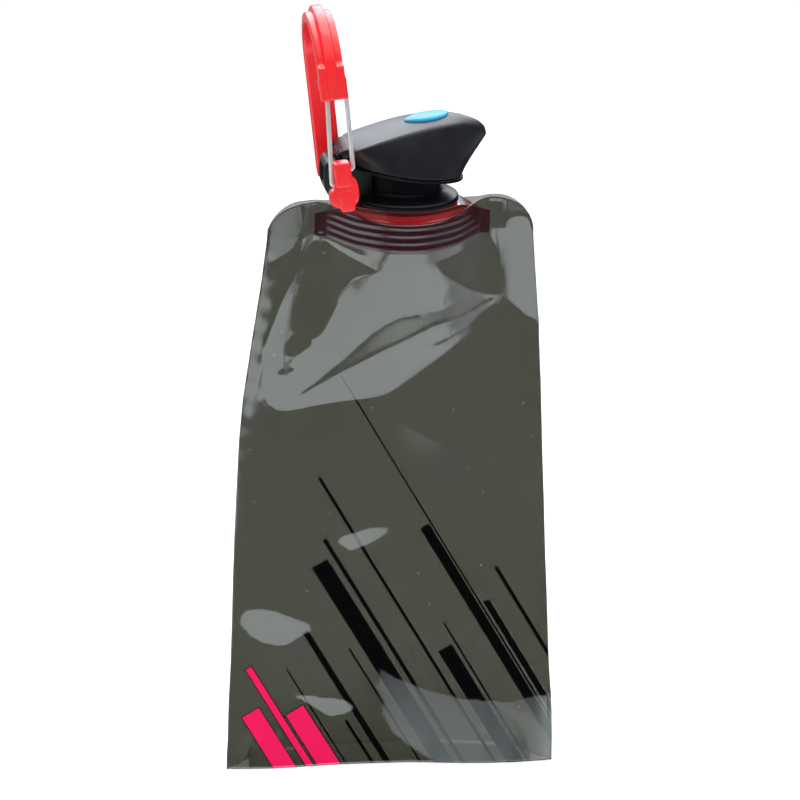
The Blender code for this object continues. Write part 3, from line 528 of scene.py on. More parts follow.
# Depth of film over the welded spout, with its ribs, and where it lies on it
def canoeCover(x, z):
    reach = weldSet["reach"]
    half = weldSet["deepest"] * np.clip(1 - (x / reach) ** 2, 0, None) ** 1.35
    half = np.maximum(weldSet["thinnest"], half)
    narrow = smoothStep(np.abs(x), weldSet["straight"], weldSet["end"])
    low = weldSet["low"] * (1 - narrow) + weldSet["lowEnd"] * narrow
    high = weldSet["high"] * (1 - narrow) + weldSet["highEnd"] * narrow
    t = (z - low) / (high - low)
    ribPlace = (z - low) / weldSet["ribPitch"]
    rib = (0.5 - 0.5 * np.cos(2 * math.pi * ribPlace)) * smoothStep(ribPlace, 0.0, 0.25)
    rib *= 1 - smoothStep(t, 0.80, 0.92)
    rib *= 1 - smoothStep(np.abs(x), 24, 28)
    held = (np.abs(x) < weldSet["end"] + 0.2) & (t > -0.02) & (t < 1.4)
    depth = half + weldSet["gap"] + weldSet["ribHeight"] * rib
    depth = np.where(np.abs(x) > reach, weldSet["tab"], depth)
    return depth, held


relaxSet = {"rounds": 1500, "overshoot": 1.93, "firm": 0.35, "across": 0.05, "start": 5.0,
            "slopes": [(140, -0.02), (45, -0.09)]}


# Lets the film settle: it keeps each facet's slope and is held at its welds
def relaxPanel(x, z, forward, base, pressed):
    slope = np.zeros_like(x)
    firm = np.full_like(x, relaxSet["firm"])
    for height, tilt in relaxSet["slopes"]:
        slope[z < height] = tilt
    for name, tilt, hold, outline in pressed:
        part = insideOutline(outline, x, z)
        slope[part] = tilt
        firm[part] = hold
    depth, fixed = canoeCover(x, z)
    g = np.where(fixed, depth, relaxSet["start"])
    for place, values in ((np.s_[0], base), (np.s_[:, 0], forward[0]), (np.s_[:, -1], forward[1])):
        g[place] = values
        fixed[place] = True
    dz = np.maximum(np.diff(z, axis=0), 0.05)
    dx = np.maximum(np.diff(x, axis=1), 0.05)
    up = np.sqrt(firm[1:] * firm[:-1]) / dz ** 2
    side = relaxSet["across"] / dx ** 2
    rise = (slope[1:] + slope[:-1]) / 2 * dz * up
    total = np.zeros_like(g)
    push = np.zeros_like(g)
    total[1:] += up
    total[:-1] += up
    total[:, 1:] += side
    total[:, :-1] += side
    push[1:] += rise
    push[:-1] -= rise
    checker = np.add.outer(np.arange(x.shape[0]), np.arange(x.shape[1])) % 2 == 0
    for step in range(relaxSet["rounds"]):
        for colour in (True, False):
            pull = push.copy()
            pull[1:] += up * g[:-1]
            pull[:-1] += up * g[1:]
            pull[:, 1:] += side * g[:, :-1]
            pull[:, :-1] += side * g[:, 1:]
            free = ~fixed & (checker == colour)
            g[free] += relaxSet["overshoot"] * (pull[free] / total[free] - g[free])
    return g + sealMarks(x, z)


def addPiece(name, work, materials, body, crease=None):
    mesh = bpy.data.meshes.new(name)
    work.to_mesh(mesh)
    work.free()
    for material in materials:
        mesh.materials.append(material)
    mesh.polygons.foreach_set("use_smooth", [True] * len(mesh.polygons))
    if crease is not None:
        mesh.set_sharp_from_angle(angle=math.radians(crease))
    piece = bpy.data.objects.new(name, mesh)
    bpy.context.scene.collection.objects.link(piece)
    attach(piece, body)
    return piece


# A grid of quads whose corners are laid on the given places, row by row, in mm
def layGrid(work, places):
    rows, columns = places.shape[:2]
    made = bmesh.ops.create_grid(work, x_segments=columns - 1, y_segments=rows - 1, size=1.0)["verts"]
    made = sorted(made, key=lambda vert: (round(vert.co.y, 6), round(vert.co.x, 6)))
    for vert, place in zip(made, places.reshape(-1, 3) * mm):
        vert.co = place


# The lattice as a sheet with the thickness of the foil
def filmSheet(name, x, y, z, materials, facing):
    work = bmesh.new()
    layGrid(work, np.stack([x, y, z], -1))
    work.normal_update()
    middle = sum(face.normal.y for face in work.faces)
    if middle * facing < 0:
        bmesh.ops.reverse_faces(work, faces=work.faces)
    piece = addPiece(name, work, materials, "bag")
    foil = piece.modifiers.new("Foil", 'SOLIDIFY')
    foil.thickness = filmSet["thickness"]
    foil.offset = -1.0
    foil.material_offset = 1
    foil.material_offset_rim = 0
    return piece


filmX, filmZ = filmLattice()
leftSide, rightSide = along(leftForward, filmZ[:, 0]), along(rightForward, filmZ[:, -1])
frontForward = relaxPanel(filmX, filmZ, (leftSide, rightSide), along(bottomForward, filmX[0]), facets)
backFacets = [(name, tilt, hold, [(-0.96 * px, pz) for px, pz in outline])
              for name, tilt, hold, outline in facets[:6]]
backForward = relaxPanel(filmX, filmZ, (-leftSide + filmSet["sideGap"], -rightSide + filmSet["sideGap"]),
                         along(bottomBack, filmX[0]), backFacets)
backForward = np.maximum(backForward, -frontForward + filmSet["panelGap"])
nearest, furthest = float(frontForward.min()), float(frontForward.max())
print("film settled: front from", round(nearest, 2), "to", round(furthest, 2), "mm")

filmFront = filmSheet("filmFront", filmX, -frontForward, filmZ, [smokeFilm, filmInside], -1)
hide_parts("front_panel")
filmBack = filmSheet("filmBack", filmX, backForward, filmZ, [plainFilm, filmInside], 1)
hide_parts("back_panel")


# The upturned fold between the panels, from one bottom edge over the fold to the other
def addGusset():
    inner = slice(gussetSet["margin"], -gussetSet["margin"])
    x = filmX[0, inner]
    near = -frontForward[0, inner] + gussetSet["inset"]
    far = backForward[0, inner] - gussetSet["inset"]
    share = np.abs(x) / gussetSet["half"]
    fold = gussetSet["fold"] * np.sqrt(np.clip(1 - share ** 2.6, 0.02, 1))
    t = np.linspace(0, 1, gussetSet["rows"])[:, None]
    ease = smoothStep(t, 0.0, 1.0)
    y = near * (1 - ease) + far * ease
    z = fold * (1 - np.abs(2 * t - 1) ** 1.3) + 0.2
    return filmSheet("bottomGusset", np.repeat(x[None], len(t), 0), y, z, [gussetFilm, gussetFilm], -1)


gusset = addGusset()
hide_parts("bottom_gusset")
print("film bag built")


# Shared shaping for the moulded parts

flangeZ = 213.8


def rounded(points, passes=3, closed=False):
    line = np.array(points, float)
    for step in range(passes):
        here, after = (line, np.roll(line, -1, 0)) if closed else (line[:-1], line[1:])
        cut = np.stack([0.75 * here + 0.25 * after, 0.25 * here + 0.75 * after], 1).reshape(-1, line.shape[1])
        line = cut if closed else np.concatenate([line[:1], cut, line[-1:]])
    return line


# As many points as asked for, evenly spaced along a line
def spaced(line, count):
    run = np.concatenate([[0], np.cumsum(np.linalg.norm(np.diff(line, axis=0), axis=1))])
    marks = np.linspace(0, run[-1], count)
    return np.stack([np.interp(marks, run, line[:, axis]) for axis in range(line.shape[1])], 1)


# Rings joined into a skin; ringed also joins the last ring to the first, for a part with a hole through it
def loft(work, rings, ringed=False):
    places = np.array(rings, float)
    places = np.concatenate([places, places[:, :1]], 1)
    if ringed:
        places = np.concatenate([places, places[:1]], 0)
    layGrid(work, places)


def closeShells(work, fill=True):
    bmesh.ops.remove_doubles(work, verts=work.verts, dist=0.000001)
    if fill:
        bmesh.ops.holes_fill(work, edges=[edge for edge in work.edges if edge.is_boundary], sides=0)
    bmesh.ops.recalc_face_normals(work, faces=work.faces)


def turnAngles(count):
    return np.linspace(0, 2 * math.pi, count, endpoint=False)


def flatRing(radius, height, centre=0.0, count=96):
    angle = turnAngles(count)
    x = centre + radius * np.cos(angle)
    z = height(x) if callable(height) else np.full(count, float(height))
    return np.stack([x, radius * np.sin(angle), z], 1)


# A flat outline in x and z, stood up at y
def upright(line, y):
    return np.stack([line[:, 0], np.full(len(line), float(y)), line[:, 1]], 1)


def uprightRing(x, z, radius, y, count=40):
    angle = turnAngles(count)
    return upright(np.stack([x + radius * np.cos(angle), z + radius * np.sin(angle)], 1), y)


# A round bar along y with softened ends
def addBar(work, x, z, radius, start, end, edge=0.25):
    loft(work, [uprightRing(x, z, radius - edge, start), uprightRing(x, z, radius, start + edge),
                uprightRing(x, z, radius, end - edge), uprightRing(x, z, radius - edge, end)])


# A box with softened edges between two corners
def addBlock(work, low, high, edge=0.4):
    middle = Vector([(a + b) / 2 for a, b in zip(low, high)]) * mm
    size = [(b - a) * mm for a, b in zip(low, high)]
    place = Matrix.Translation(middle) @ Matrix.Diagonal((*size, 1.0))
    made = bmesh.ops.create_cube(work, size=1.0, matrix=place)["verts"]
    edges = list({item for vert in made for item in vert.link_edges})
    bmesh.ops.bevel(work, geom=edges, offset=edge * mm, segments=3, profile=0.5, affect='EDGES', material=-1)


# Cap

capSet = {
    "deckHeight": 224.7, "deckSlope": 0.125, "deckLength": 40.6, "deckWidth": 33.4, "deckCentre": 0.5,
    "deckRound": 0.95, "waist": 13.1, "flange": 19.4, "skirt": 11.6, "cavity": 6.6, "holeX": 2.0, "hole": 3.2,
    "barX": -24.65, "barZ": 222.3, "slot": 2.8, "slotRise": 1.5, "bracketHalf": 6.5, "hingeX": -22.3,
    "hingeZ": 230.6, "knuckle": 2.2, "earIn": 5.0, "earOut": 7.4,
}


def deckPlane(x):
    return capSet["deckHeight"] - capSet["deckSlope"] * x


# Heights that follow the deck's plane, raised or lowered
def onDeck(rise):
    return lambda x: deckPlane(x) + rise


def deckRing(inset, drop, count=96):
    angle = turnAngles(count)
    c, s = np.cos(angle), np.sin(angle)
    length, width = capSet["deckLength"] / 2 - inset, capSet["deckWidth"] / 2 - inset
    x = capSet["deckCentre"] + length * np.sign(c) * np.abs(c) ** capSet["deckRound"]
    y = width * np.sign(s) * np.abs(s) ** capSet["deckRound"]
    return np.stack([x, y, deckPlane(x) - drop], 1)


# The bracket's side view, as (x, height over the flange)
bracketSide = [(-12, 1.8), (-16, 1.2), (-21.4, 0.9), (-24.1, 0.95), (-25.9, 1.5), (-27.3, 2.7),
               (-28.2, 4.2), (-28.8, 6.2), (-29.05, 8.4), (-29.1, 10.6), (-28.9, 12.6), (-28.4, 13.9),
               (-27.6, 14.8), (-26.5, 15.3), (-25.45, 15.4), (-25.35, 14.95), (-24.95, 14.95),
               (-24.85, 15.4), (-24.75, 15.2), (-24.5, 14.4), (-22.3, 14.2), (-21.7, 14.2),
               (-21.4, 13.9), (-21.35, 13.4), (-20.6, 13.1), (-17, 12.7), (-12, 12.2)]


def addBracket(work):
    side = np.array(bracketSide, float) + (0, flangeZ)
    side = np.concatenate([spaced(np.stack([a, b]), 4)[:-1] for a, b in zip(side, np.roll(side, -1, 0))])
    rise, slot, half = capSet["slotRise"], capSet["slot"], capSet["bracketHalf"]
    centre = np.array([capSet["barX"], capSet["barZ"] + rise])
    angle = np.arctan2(side[:, 1] - centre[1], side[:, 0] - centre[0])
    slotX = centre[0] + slot * np.cos(angle)
    slotZ = centre[1] + rise * np.clip(np.sin(angle) * 3, -1, 1) + slot * np.sin(angle)
    slotLine = np.stack([slotX, slotZ], 1)
    away = side - centre
    away /= np.linalg.norm(away, axis=1)[:, None]
    steps = [(1.35, -half - 0.35), (1.0, -half - 0.25), (0.85, -half), (0.45, -half), (0.12, 0.15 - half),
             (0.0, 0.5 - half), (0.0, 1.5 - half), (0.0, half - 1.5), (0.0, half - 0.5), (0.12, half - 0.15),
             (0.45, half)]
    loft(work, [upright(slotLine, -half - 0.1), upright(slotLine, -half - 0.35)]
         + [upright(side - away * inset, y) for inset, y in steps] + [upright(slotLine, half)], True)


def buildCap():
    work = bmesh.new()
    addBracket(work)
    closeShells(work)
    window = []
    for face in work.faces:
        x, y, z = face.calc_center_median() / mm
        if x < -27.9 and abs(y) < 1 and flangeZ + 5.6 < z < flangeZ + 12.4:
            window.append(face)
    bmesh.ops.inset_region(work, faces=window, thickness=0.1 * mm, depth=-1.3 * mm)
    # The window is only a shallow recess; giving it the darker blackGloss paints the shade of an opening
    # through the bracket
    for face in work.faces:
        face.material_index = 0 if face in window else 1
    hole, holeX = capSet["hole"], capSet["holeX"]
    waist, flange, skirt = capSet["waist"], capSet["flange"], capSet["skirt"]
    ceiling = flangeZ + capSet["cavity"]
    profile = [(waist, 5.2), (waist + 0.05, 4.6), (waist + 0.25, 3.9), (waist + 0.8, 3.35),
               (waist + 1.8, 3.0), (flange - 1.6, 2.15), (flange - 0.8, 1.95), (flange - 0.3, 1.65),
               (flange - 0.05, 1.25), (flange, 0.8), (flange - 0.05, 0.2), (flange - 0.3, -0.2),
               (flange - 0.7, -0.38), (flange - 1.6, -0.38), (flange - 2.0, 0), (skirt + 0.5, 0),
               (skirt, 0.5), (skirt, capSet["cavity"])]
    loft(work, [flatRing(hole, onDeck(-0.6), holeX), flatRing(waist, onDeck(-0.6))]
         + [flatRing(radius, flangeZ + height) for radius, height in profile]
         + [flatRing(hole, ceiling, holeX)], True)
    edge = [(0.7, 0.0), (0.4, 0.03), (0.16, 0.14), (0.0, 0.4), (0.0, 0.85), (0.12, 1.08), (0.35, 1.2)]
    loft(work, [flatRing(hole, deckPlane, holeX)] + [deckRing(inset, drop) for inset, drop in edge]
         + [flatRing(hole, onDeck(-1.2), holeX)], True)
    hingeX = capSet["hingeX"]
    for side in (-1, 1):
        near, far = sorted((side * capSet["earIn"], side * capSet["earOut"]))
        addBar(work, hingeX, capSet["hingeZ"], capSet["knuckle"], near, far)
        addBlock(work, (hingeX - 0.6, near + 0.05, flangeZ + 13.6),
                 (hingeX + 1.6, far - 0.05, flangeZ + 16.4))
    closeShells(work)
    return addPiece("capBody", work, [blackGloss, blackSatin], "cap", 32)


capBody = buildCap()
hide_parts("cap_body")


# Drinking nozzle, a soft moulded spout on the deck

def buildNozzle():
    work = bmesh.new()
    x, hole, top = capSet["holeX"], capSet["hole"], flangeZ + 20.4
    foot = [(hole, 0.05), (5.9, 0.05), (6.0, 0.3), (5.9, 0.85), (5.6, 1.1), (5.0, 1.5), (4.75, 2.3)]
    head = [(4.3, 4.6), (4.2, 2.6), (4.35, 2.1), (4.65, 1.7), (4.7, 1.2), (4.65, 0.5), (4.4, 0.12),
            (4.0, 0.0), (hole + 0.3, 0.0), (hole, 0.3)]
    loft(work, [flatRing(radius, onDeck(rise), x, 64) for radius, rise in foot]
         + [flatRing(radius, top - drop, x, 64) for radius, drop in head], True)
    closeShells(work, False)
    return addPiece("drinkingSpout", work, [clearSoft], "cap", 40)


nozzle = buildNozzle()
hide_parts("drinking_nozzle")


# Flip lid

lidSet = {
    "rimLength": 39.6, "rimWidth": 32.6, "rimGap": 0.3, "wall": 1.3, "bulge": 0.5, "edge": 1.1, "count": 70,
}
# Plan of the lid's top, from the beak to the hinge, and the height of its upper edge
lidPlan = [(29.0, 0), (28.9, 0.9), (28.3, 1.8), (27.0, 2.6), (25.0, 3.4), (22.5, 4.5), (20.0, 5.8),
           (17.0, 7.6), (14.0, 9.0), (10.0, 10.2), (6.0, 11.1), (2.0, 11.7), (-2.0, 12.1), (-6.0, 12.3),
           (-10.0, 12.4), (-14.0, 12.5), (-17.0, 12.6), (-19.4, 12.4), (-20.6, 11.2), (-20.8, 9.0),
           (-20.8, 0)]
lidRise = [(29.0, 236.5), (28.0, 237.3), (26.5, 238.35), (24.5, 239.35), (22.0, 240.25), (20.0, 240.8),
           (17.0, 241.35), (14.0, 241.55), (10.0, 241.4), (6.0, 240.95), (2.0, 240.25), (-2.0, 239.35),
           (-6.0, 238.25), (-10.0, 236.95), (-14.0, 235.6), (-17.0, 234.55), (-20.0, 233.55),
           (-25.0, 232.5)]
lidCurve = np.polyfit([row[0] for row in lidRise], [row[1] for row in lidRise], 7)
lidLine = rounded(lidPlan)


def lidHalf(x):
    return np.interp(x, lidLine[::-1, 0], lidLine[::-1, 1])


# Height of the crowned top of the lid
def lidTop(x, y):
    half = np.maximum(lidHalf(np.clip(x, -19.0, 28.5)), 0.6)
    crown = np.minimum(0.8 + 1.4 * smoothStep(x, -10, 15), 0.75 * half)
    return np.polyval(lidCurve, x) + crown * np.clip(1 - (y / half) ** 2, 0, 1)


def wholeRing(half):
    back = half[-2:0:-1].copy()
    back[:, 1] *= -1
    return np.concatenate([half, back])


def buildLid():
    count, edge = lidSet["count"], lidSet["edge"]
    angle = np.linspace(0, math.pi, 400)
    c, s = np.cos(angle), np.sin(angle)
    rimX = capSet["deckCentre"] + lidSet["rimLength"] / 2 * np.sign(c) * np.abs(c) ** capSet["deckRound"]
    rimY = lidSet["rimWidth"] / 2 * np.abs(s) ** capSet["deckRound"]
    rim = wholeRing(spaced(np.stack([rimX, rimY], 1), count))
    top = wholeRing(spaced(lidLine, count))
    rimZ = deckPlane(rim[:, 0]) + lidSet["rimGap"]
    topZ = np.polyval(lidCurve, top[:, 0])
    outward = np.clip(rim[:, 1] / 3, -1, 1)

    def wallRing(mix):
        x = rim[:, 0] + (top[:, 0] - rim[:, 0]) * mix ** 1.08
        y = rim[:, 1] + (top[:, 1] - rim[:, 1]) * mix + outward * lidSet["bulge"] * math.sin(math.pi * mix)
        return np.stack([x, y, rimZ + (topZ - rimZ) * mix], 1)

    centre = np.array([2.0, 0.0])
    away = top - centre
    inner = top - away / np.linalg.norm(away, axis=1)[:, None] * edge

    def crownRing(share):
        x, y = (centre + (inner - centre) * share).T
        return np.stack([x, y, lidTop(x, y)], 1)

    rings = [wallRing(mix) for mix in (0.0, 0.02, 0.08, 0.2, 0.35, 0.5, 0.65, 0.78, 0.88)]
    crest = np.stack([top[:, 0], top[:, 1], topZ], 1)
    down = rings[-1] - crest
    down /= np.maximum(np.linalg.norm(down, axis=1)[:, None], 0.01)
    below = crest + down * np.minimum(edge, 0.1 * (topZ - rimZ)[:, None])
    first = crownRing(1.0)
    for t in np.linspace(0, 1, 7):
        rings.append(below * (1 - t) ** 2 + crest * 2 * t * (1 - t) + first * t * t)
    rings += [crownRing(share) for share in (0.97, 0.92, 0.84, 0.72, 0.58, 0.42, 0.26, 0.12, 0.0)]
    work = bmesh.new()
    loft(work, rings)
    closeShells(work, False)
    shell = addPiece("lidShell", work, [blackSatin], "flip_lid")
    wall = shell.modifiers.new("Wall", 'SOLIDIFY')
    wall.thickness = lidSet["wall"] * mm
    wall.offset = -1.0
    return shell


# The lid's tail over the hinge, its knuckle and the socket that holds the plug
tailX = np.array([-18.4, -20.0, -21.4, -22.6, -23.4, -23.85, -24.0])
tailDrop = np.array([0.15, 0, 0, 0, 0.05, 0.3, 0.9])
tailThick = np.array([0.2, 0.7, 1.05, 1.15, 1.2, 1.2, 1.2])
cheekLow = np.array([232.0, 231.9, 231.3, 230.1, 230.6, 231.0, 231.0])
# Across the tail, as (distance from the middle, inset, whether a cheek hangs down there)
tailRows = [(8.95, 0.35, 1), (8.8, 0.1, 1), (8.5, 0, 1), (7.75, 0, 1), (7.7, 0, 0), (4, 0, 0)]


def buildLidHinge():
    work = bmesh.new()
    rings = []
    mirrored = [(-y, inset, cheek) for y, inset, cheek in tailRows]
    for y, inset, cheek in mirrored + [(0, 0, 0)] + tailRows[::-1]:
        row = np.full(len(tailX), float(y))
        upper = lidTop(tailX, row) - inset - tailDrop
        lower = upper[::-1] - tailThick
        if cheek:
            lower = np.minimum(lower, cheekLow + inset)
        there, back = np.stack([tailX, row, upper], 1), np.stack([tailX[::-1], row, lower], 1)
        rings.append(np.concatenate([there, back]))
    loft(work, rings)
    hingeX, hingeZ = capSet["hingeX"], capSet["hingeZ"]
    addBar(work, hingeX, hingeZ, capSet["knuckle"], -4.7, 4.7)
    addBlock(work, (hingeX, -4.5, hingeZ - 0.6), (-18.9, 4.5, hingeZ + 1.9))
    x, low = capSet["holeX"], flangeZ + 21.2
    under = lambda place: lidTop(place, 0 * place) - 0.9
    socket = [(6.4, under), (6.4, low + 0.3), (6.2, low), (5.4, low), (5.2, low + 0.3), (5.2, under)]
    loft(work, [flatRing(radius, height, x, 64) for radius, height in socket], True)
    closeShells(work)
    return addPiece("lidHinge", work, [blackSatin], "flip_lid", 35)


lidShell = buildLid()
lidHinge = buildLidHinge()
for piece in (lidShell, lidHinge):
    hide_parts("lid")

padSet = {"length": 15.4, "width": 12.0, "centre": 7.2, "height": 0.95, "tilt": 0.35}


# Drop-shaped pad, its point toward the hinge, with a soft dish in its top
def buildPad():
    angle = turnAngles(96)
    c, s = np.cos(angle), np.sin(angle)
    narrow = np.where(c > 0, 1.0, 1 - 0.28 * np.abs(c) ** 2)
    rings = []
    for share, rise in ((0.97, -0.4), (1.0, 0.1), (1.005, 0.3), (0.99, 0.55), (0.955, 0.78), (0.90, 0.92),
                        (0.83, 0.97), (0.74, 0.92), (0.62, 0.80), (0.48, 0.70), (0.32, 0.64), (0.16, 0.62),
                        (0.0, 0.62)):
        x = padSet["centre"] + share * padSet["length"] / 2 * c
        y = share * padSet["width"] / 2 * s * narrow
        lean = 1 - padSet["tilt"] * (y / padSet["width"] * 2 + 0.4)
        rings.append(np.stack([x, y, lidTop(x, y) + padSet["height"] * rise * lean], 1))
    work = bmesh.new()
    loft(work, rings)
    closeShells(work)
    return addPiece("lidButton", work, [blueSoft], "flip_lid", 60)


pad = buildPad()
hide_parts("lid_pad")
print("cap and lid built")


# Carabiner, drawn upright round its own bar and leaned back

clipSet = {
    "half": 19.2, "arcCentre": 38.1, "nose": 5.8, "notch": 3.8, "wide": 7.3, "solid": 11.2, "spineLow": -1.0,
    "corner": 3.2, "width": 4.45, "noseWidth": 4.75, "noseLow": 0.4, "low": -2.8, "shelf": 0.8, "high": 2.8,
    "rib": 1.95, "lean": 7.4, "bar": 1.7, "barEnds": (-18.2, 19.2), "wire": 0.8, "wireLeft": -2.1,
    "wireRight": 4.35, "wireFoot": 3.95, "hookLow": 1.9, "hookHigh": 6.8, "hookBend": 1.2,
    "place": (-0.0240, 0, 0.2223),
}
clipPlace = Matrix.Translation(clipSet["place"]) @ Matrix.Rotation(math.radians(-clipSet["lean"]), 4, 'Y')


# Closed outline across the body: a flat inner side, two shelves and a rib between them
def clipSection(width, low, shelf, inset):
    rib, high = clipSet["rib"], clipSet["high"]
    width -= inset
    low += inset
    high -= inset
    shelf = min(shelf, high - 0.02)
    e = min(0.7, (shelf - low) / 3)
    half = [(0, low), (width - 1.2, low), (width - e, low), (width, low + e), (width, (low + shelf) / 2),
            (width, shelf - 0.45), (width - 0.45, shelf), (rib + 0.8, shelf), (rib + 0.2, shelf + 0.05),
            (rib, (shelf + high) / 2), (rib - 0.1, high - 0.3), (rib - 0.6, high), (0, high)]
    other = [(-x, y) for x, y in half[-2:0:-1]]
    return rounded(half + other, 2, True)


# Stations along the body from the nose, over the arc, down the spine and round its corner to the bar, as
# (y, z, angle, distance from the nose)
def clipPath():
    nose, centre, half = clipSet["nose"], clipSet["arcCentre"], clipSet["half"]
    marks = [0, 0.08, 0.3, 0.7, 1.4, 2.4, 3.3, 4.4, 5.1, 6.2, 8.6, 9.6]
    marks += [clipSet["notch"] - 0.01, clipSet["notch"]]
    marks += [clipSet["wide"] + step for step in (-0.5, -0.25, 0, 0.25, 0.5)]
    marks += [clipSet["solid"] + step for step in (-0.7, -0.45, -0.2, 0.05, 0.3, 0.55, 0.8, 1.1)]
    marks += list(np.linspace(13.2, nose + math.pi * half, 54))
    path = []
    for mark in sorted(marks):
        if mark < nose:
            path.append((-half, centre - nose + mark, math.pi, mark))
        else:
            angle = math.pi - (mark - nose) / half
            path.append((half * math.cos(angle), centre + half * math.sin(angle), angle, mark))
    for height in np.linspace(centre, clipSet["spineLow"], 14)[1:]:
        path.append((half, height, 0.0, 999))
    corner = clipSet["corner"]
    for angle in np.linspace(0, -math.pi / 2, 9)[1:]:
        y = half - corner + corner * math.cos(angle)
        path.append((y, clipSet["spineLow"] + corner * math.sin(angle), angle, 999))
    return path


# A plate whose rings are drawn in from its outline toward its middle, as (inset, y)
def addPlate(work, outline, middle, steps):
    line = rounded(outline, 1, True)
    away = line - np.array(middle)
    away = away / np.linalg.norm(away, axis=1)[:, None]
    loft(work, [upright(line - away * inset, y) for inset, y in steps])


# The value changes smoothly from its first to its last between two marks
def change(first, last, mark, start, end):
    return first + (last - first) * float(smoothStep(mark, start, end))


# The foot: a lobed plate with a raised neck and a raised tongue, each as its outline (x, z), its middle and
# its rings as (inset, y)
footPlates = {
    "foot": ([(-1.6, -7.5), (2.6, -7.5), (3.1, -6.8), (3.2, -5.2), (4.2, -4.6), (4.8, -3.2), (4.9, -0.5),
              (4.8, 1.8), (4.3, 3.4), (3.3, 4.2), (3.0, 5.2), (3.0, 8.6), (2.7, 9.7), (2.0, 10.1),
              (-2.0, 10.1), (-2.7, 9.7), (-3.0, 8.6), (-3.0, 2.0), (-3.4, 0.9), (-4.6, 0.2), (-5.2, -1.0),
              (-5.3, -3.0), (-4.9, -4.6), (-3.6, -5.4), (-2.2, -6.0), (-1.8, -6.9)], (0.0, -1.0),
             [(0.9, -21.75), (0.45, -21.68), (0.15, -21.45), (0.0, -21.1), (0.0, -17.3), (0.15, -16.95),
              (0.5, -16.8)]),
    "neck": ([(-2.95, 1.2), (2.95, 1.2), (3.0, 3.0), (2.9, 5.0), (3.0, 8.6), (2.7, 9.7), (2.0, 10.1),
              (-2.0, 10.1), (-2.7, 9.7), (-3.0, 8.6), (-2.9, 5.0), (-3.0, 3.0)], (0.0, 5.5),
             [(0.9, -22.1), (0.5, -22.02), (0.2, -21.8), (0.05, -21.5), (0.05, -20.5)]),
    "tongue": ([(-1.5, -7.45), (2.5, -7.45), (2.95, -6.7), (3.0, -3.4), (2.9, 0.3), (-1.6, 0.3), (-1.8, -3.4),
                (-1.7, -6.7)], (0.6, -3.0),
               [(0.8, -22.0), (0.4, -21.95), (0.12, -21.75), (0.0, -21.4), (0.0, -20.5)]),
}


def buildClip():
    work = bmesh.new()
    path = clipPath()
    rings = []
    for index, (y, z, angle, mark) in enumerate(path):
        wide, solid = clipSet["wide"], clipSet["solid"]
        width = change(clipSet["noseWidth"], clipSet["width"], mark, wide - 0.5, wide + 0.5)
        shelf = change(clipSet["high"], clipSet["shelf"], mark, solid - 0.7, solid + 1.1)
        low = clipSet["noseLow"] if mark < clipSet["notch"] - 0.005 else clipSet["low"]
        inset = {0: 0.45, 1: 0.2, 2: 0.04, len(path) - 1: 0.4}.get(index, 0.0)
        section = clipSection(width, low, shelf, inset)
        c, s = math.cos(angle), math.sin(angle)
        rings.append([(across, y + out * c, z + out * s) for across, out in section])
    loft(work, rings)
    addBar(work, 0, 0, clipSet["bar"], *clipSet["barEnds"])
    for outline, middle, steps in footPlates.values():
        addPlate(work, outline, middle, steps)
    closeShells(work)
    bmesh.ops.transform(work, matrix=clipPlace, verts=work.verts)
    return addPiece("clipFrame", work, [redPlastic], "carabiner", 42)


# A round wire through the given points
def tube(work, points, radius, sides=16):
    points = [Vector(point) for point in points]
    across = Vector((0, 1, 0))
    rings = []
    for index, point in enumerate(points):
        ahead = (points[min(index + 1, len(points) - 1)] - points[max(index - 1, 0)]).normalized()
        across = (across - ahead * across.dot(ahead)).normalized()
        other = ahead.cross(across)
        ring = []
        for turn in turnAngles(sides):
            ring.append(point + (across * math.cos(turn) + other * math.sin(turn)) * radius)
        rings.append(ring)
    loft(work, rings)


def buildGate():
    half, foot, bend = clipSet["half"], clipSet["wireFoot"], clipSet["hookBend"]
    gateY, topY, topZ = -half - 0.1, -half + 0.7, clipSet["arcCentre"] - 3.6
    lowHook, highHook = clipSet["hookLow"], clipSet["hookHigh"]
    corners = np.array([(-1.2, gateY, lowHook), (-foot, gateY, lowHook), (clipSet["wireLeft"], topY, topZ),
                        (clipSet["wireRight"], topY, topZ), (foot, gateY, highHook), (1.2, gateY, highHook)])
    points = [corners[0]]
    for before, here, after in zip(corners, corners[1:], corners[2:]):
        back = (before - here) / np.linalg.norm(before - here) * bend
        on = (after - here) / np.linalg.norm(after - here) * bend
        points += [here + back * (1 - t) ** 2 + on * t ** 2 for t in np.linspace(0, 1, 8)]
    points.append(corners[-1])
    work = bmesh.new()
    tube(work, points, clipSet["wire"])
    closeShells(work)
    bmesh.ops.transform(work, matrix=clipPlace, verts=work.verts)
    return addPiece("gateWire", work, [wireSteel], "gate", 60)


clip = buildClip()
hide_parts("carabiner_frame")
gate = buildGate()
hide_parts("gate_wire")
print("carabiner built")


# Carried-over CAD nodes get their finishes

finishes = {"spout": spoutRed, "lid_plug": clearSoft, "cap_gasket": clearSoft, "lid_hinge_pin": wireSteel}
for nodeName, finish in finishes.items():
    mesh = nodes[nodeName].data
    mesh.materials.clear()
    mesh.materials.append(finish)


# Floor, backdrop and light

floorSet = {"half": 6.0, "place": (0, 0, -0.0002), "colour": (0.80, 0.80, 0.80), "glow": 0.42}


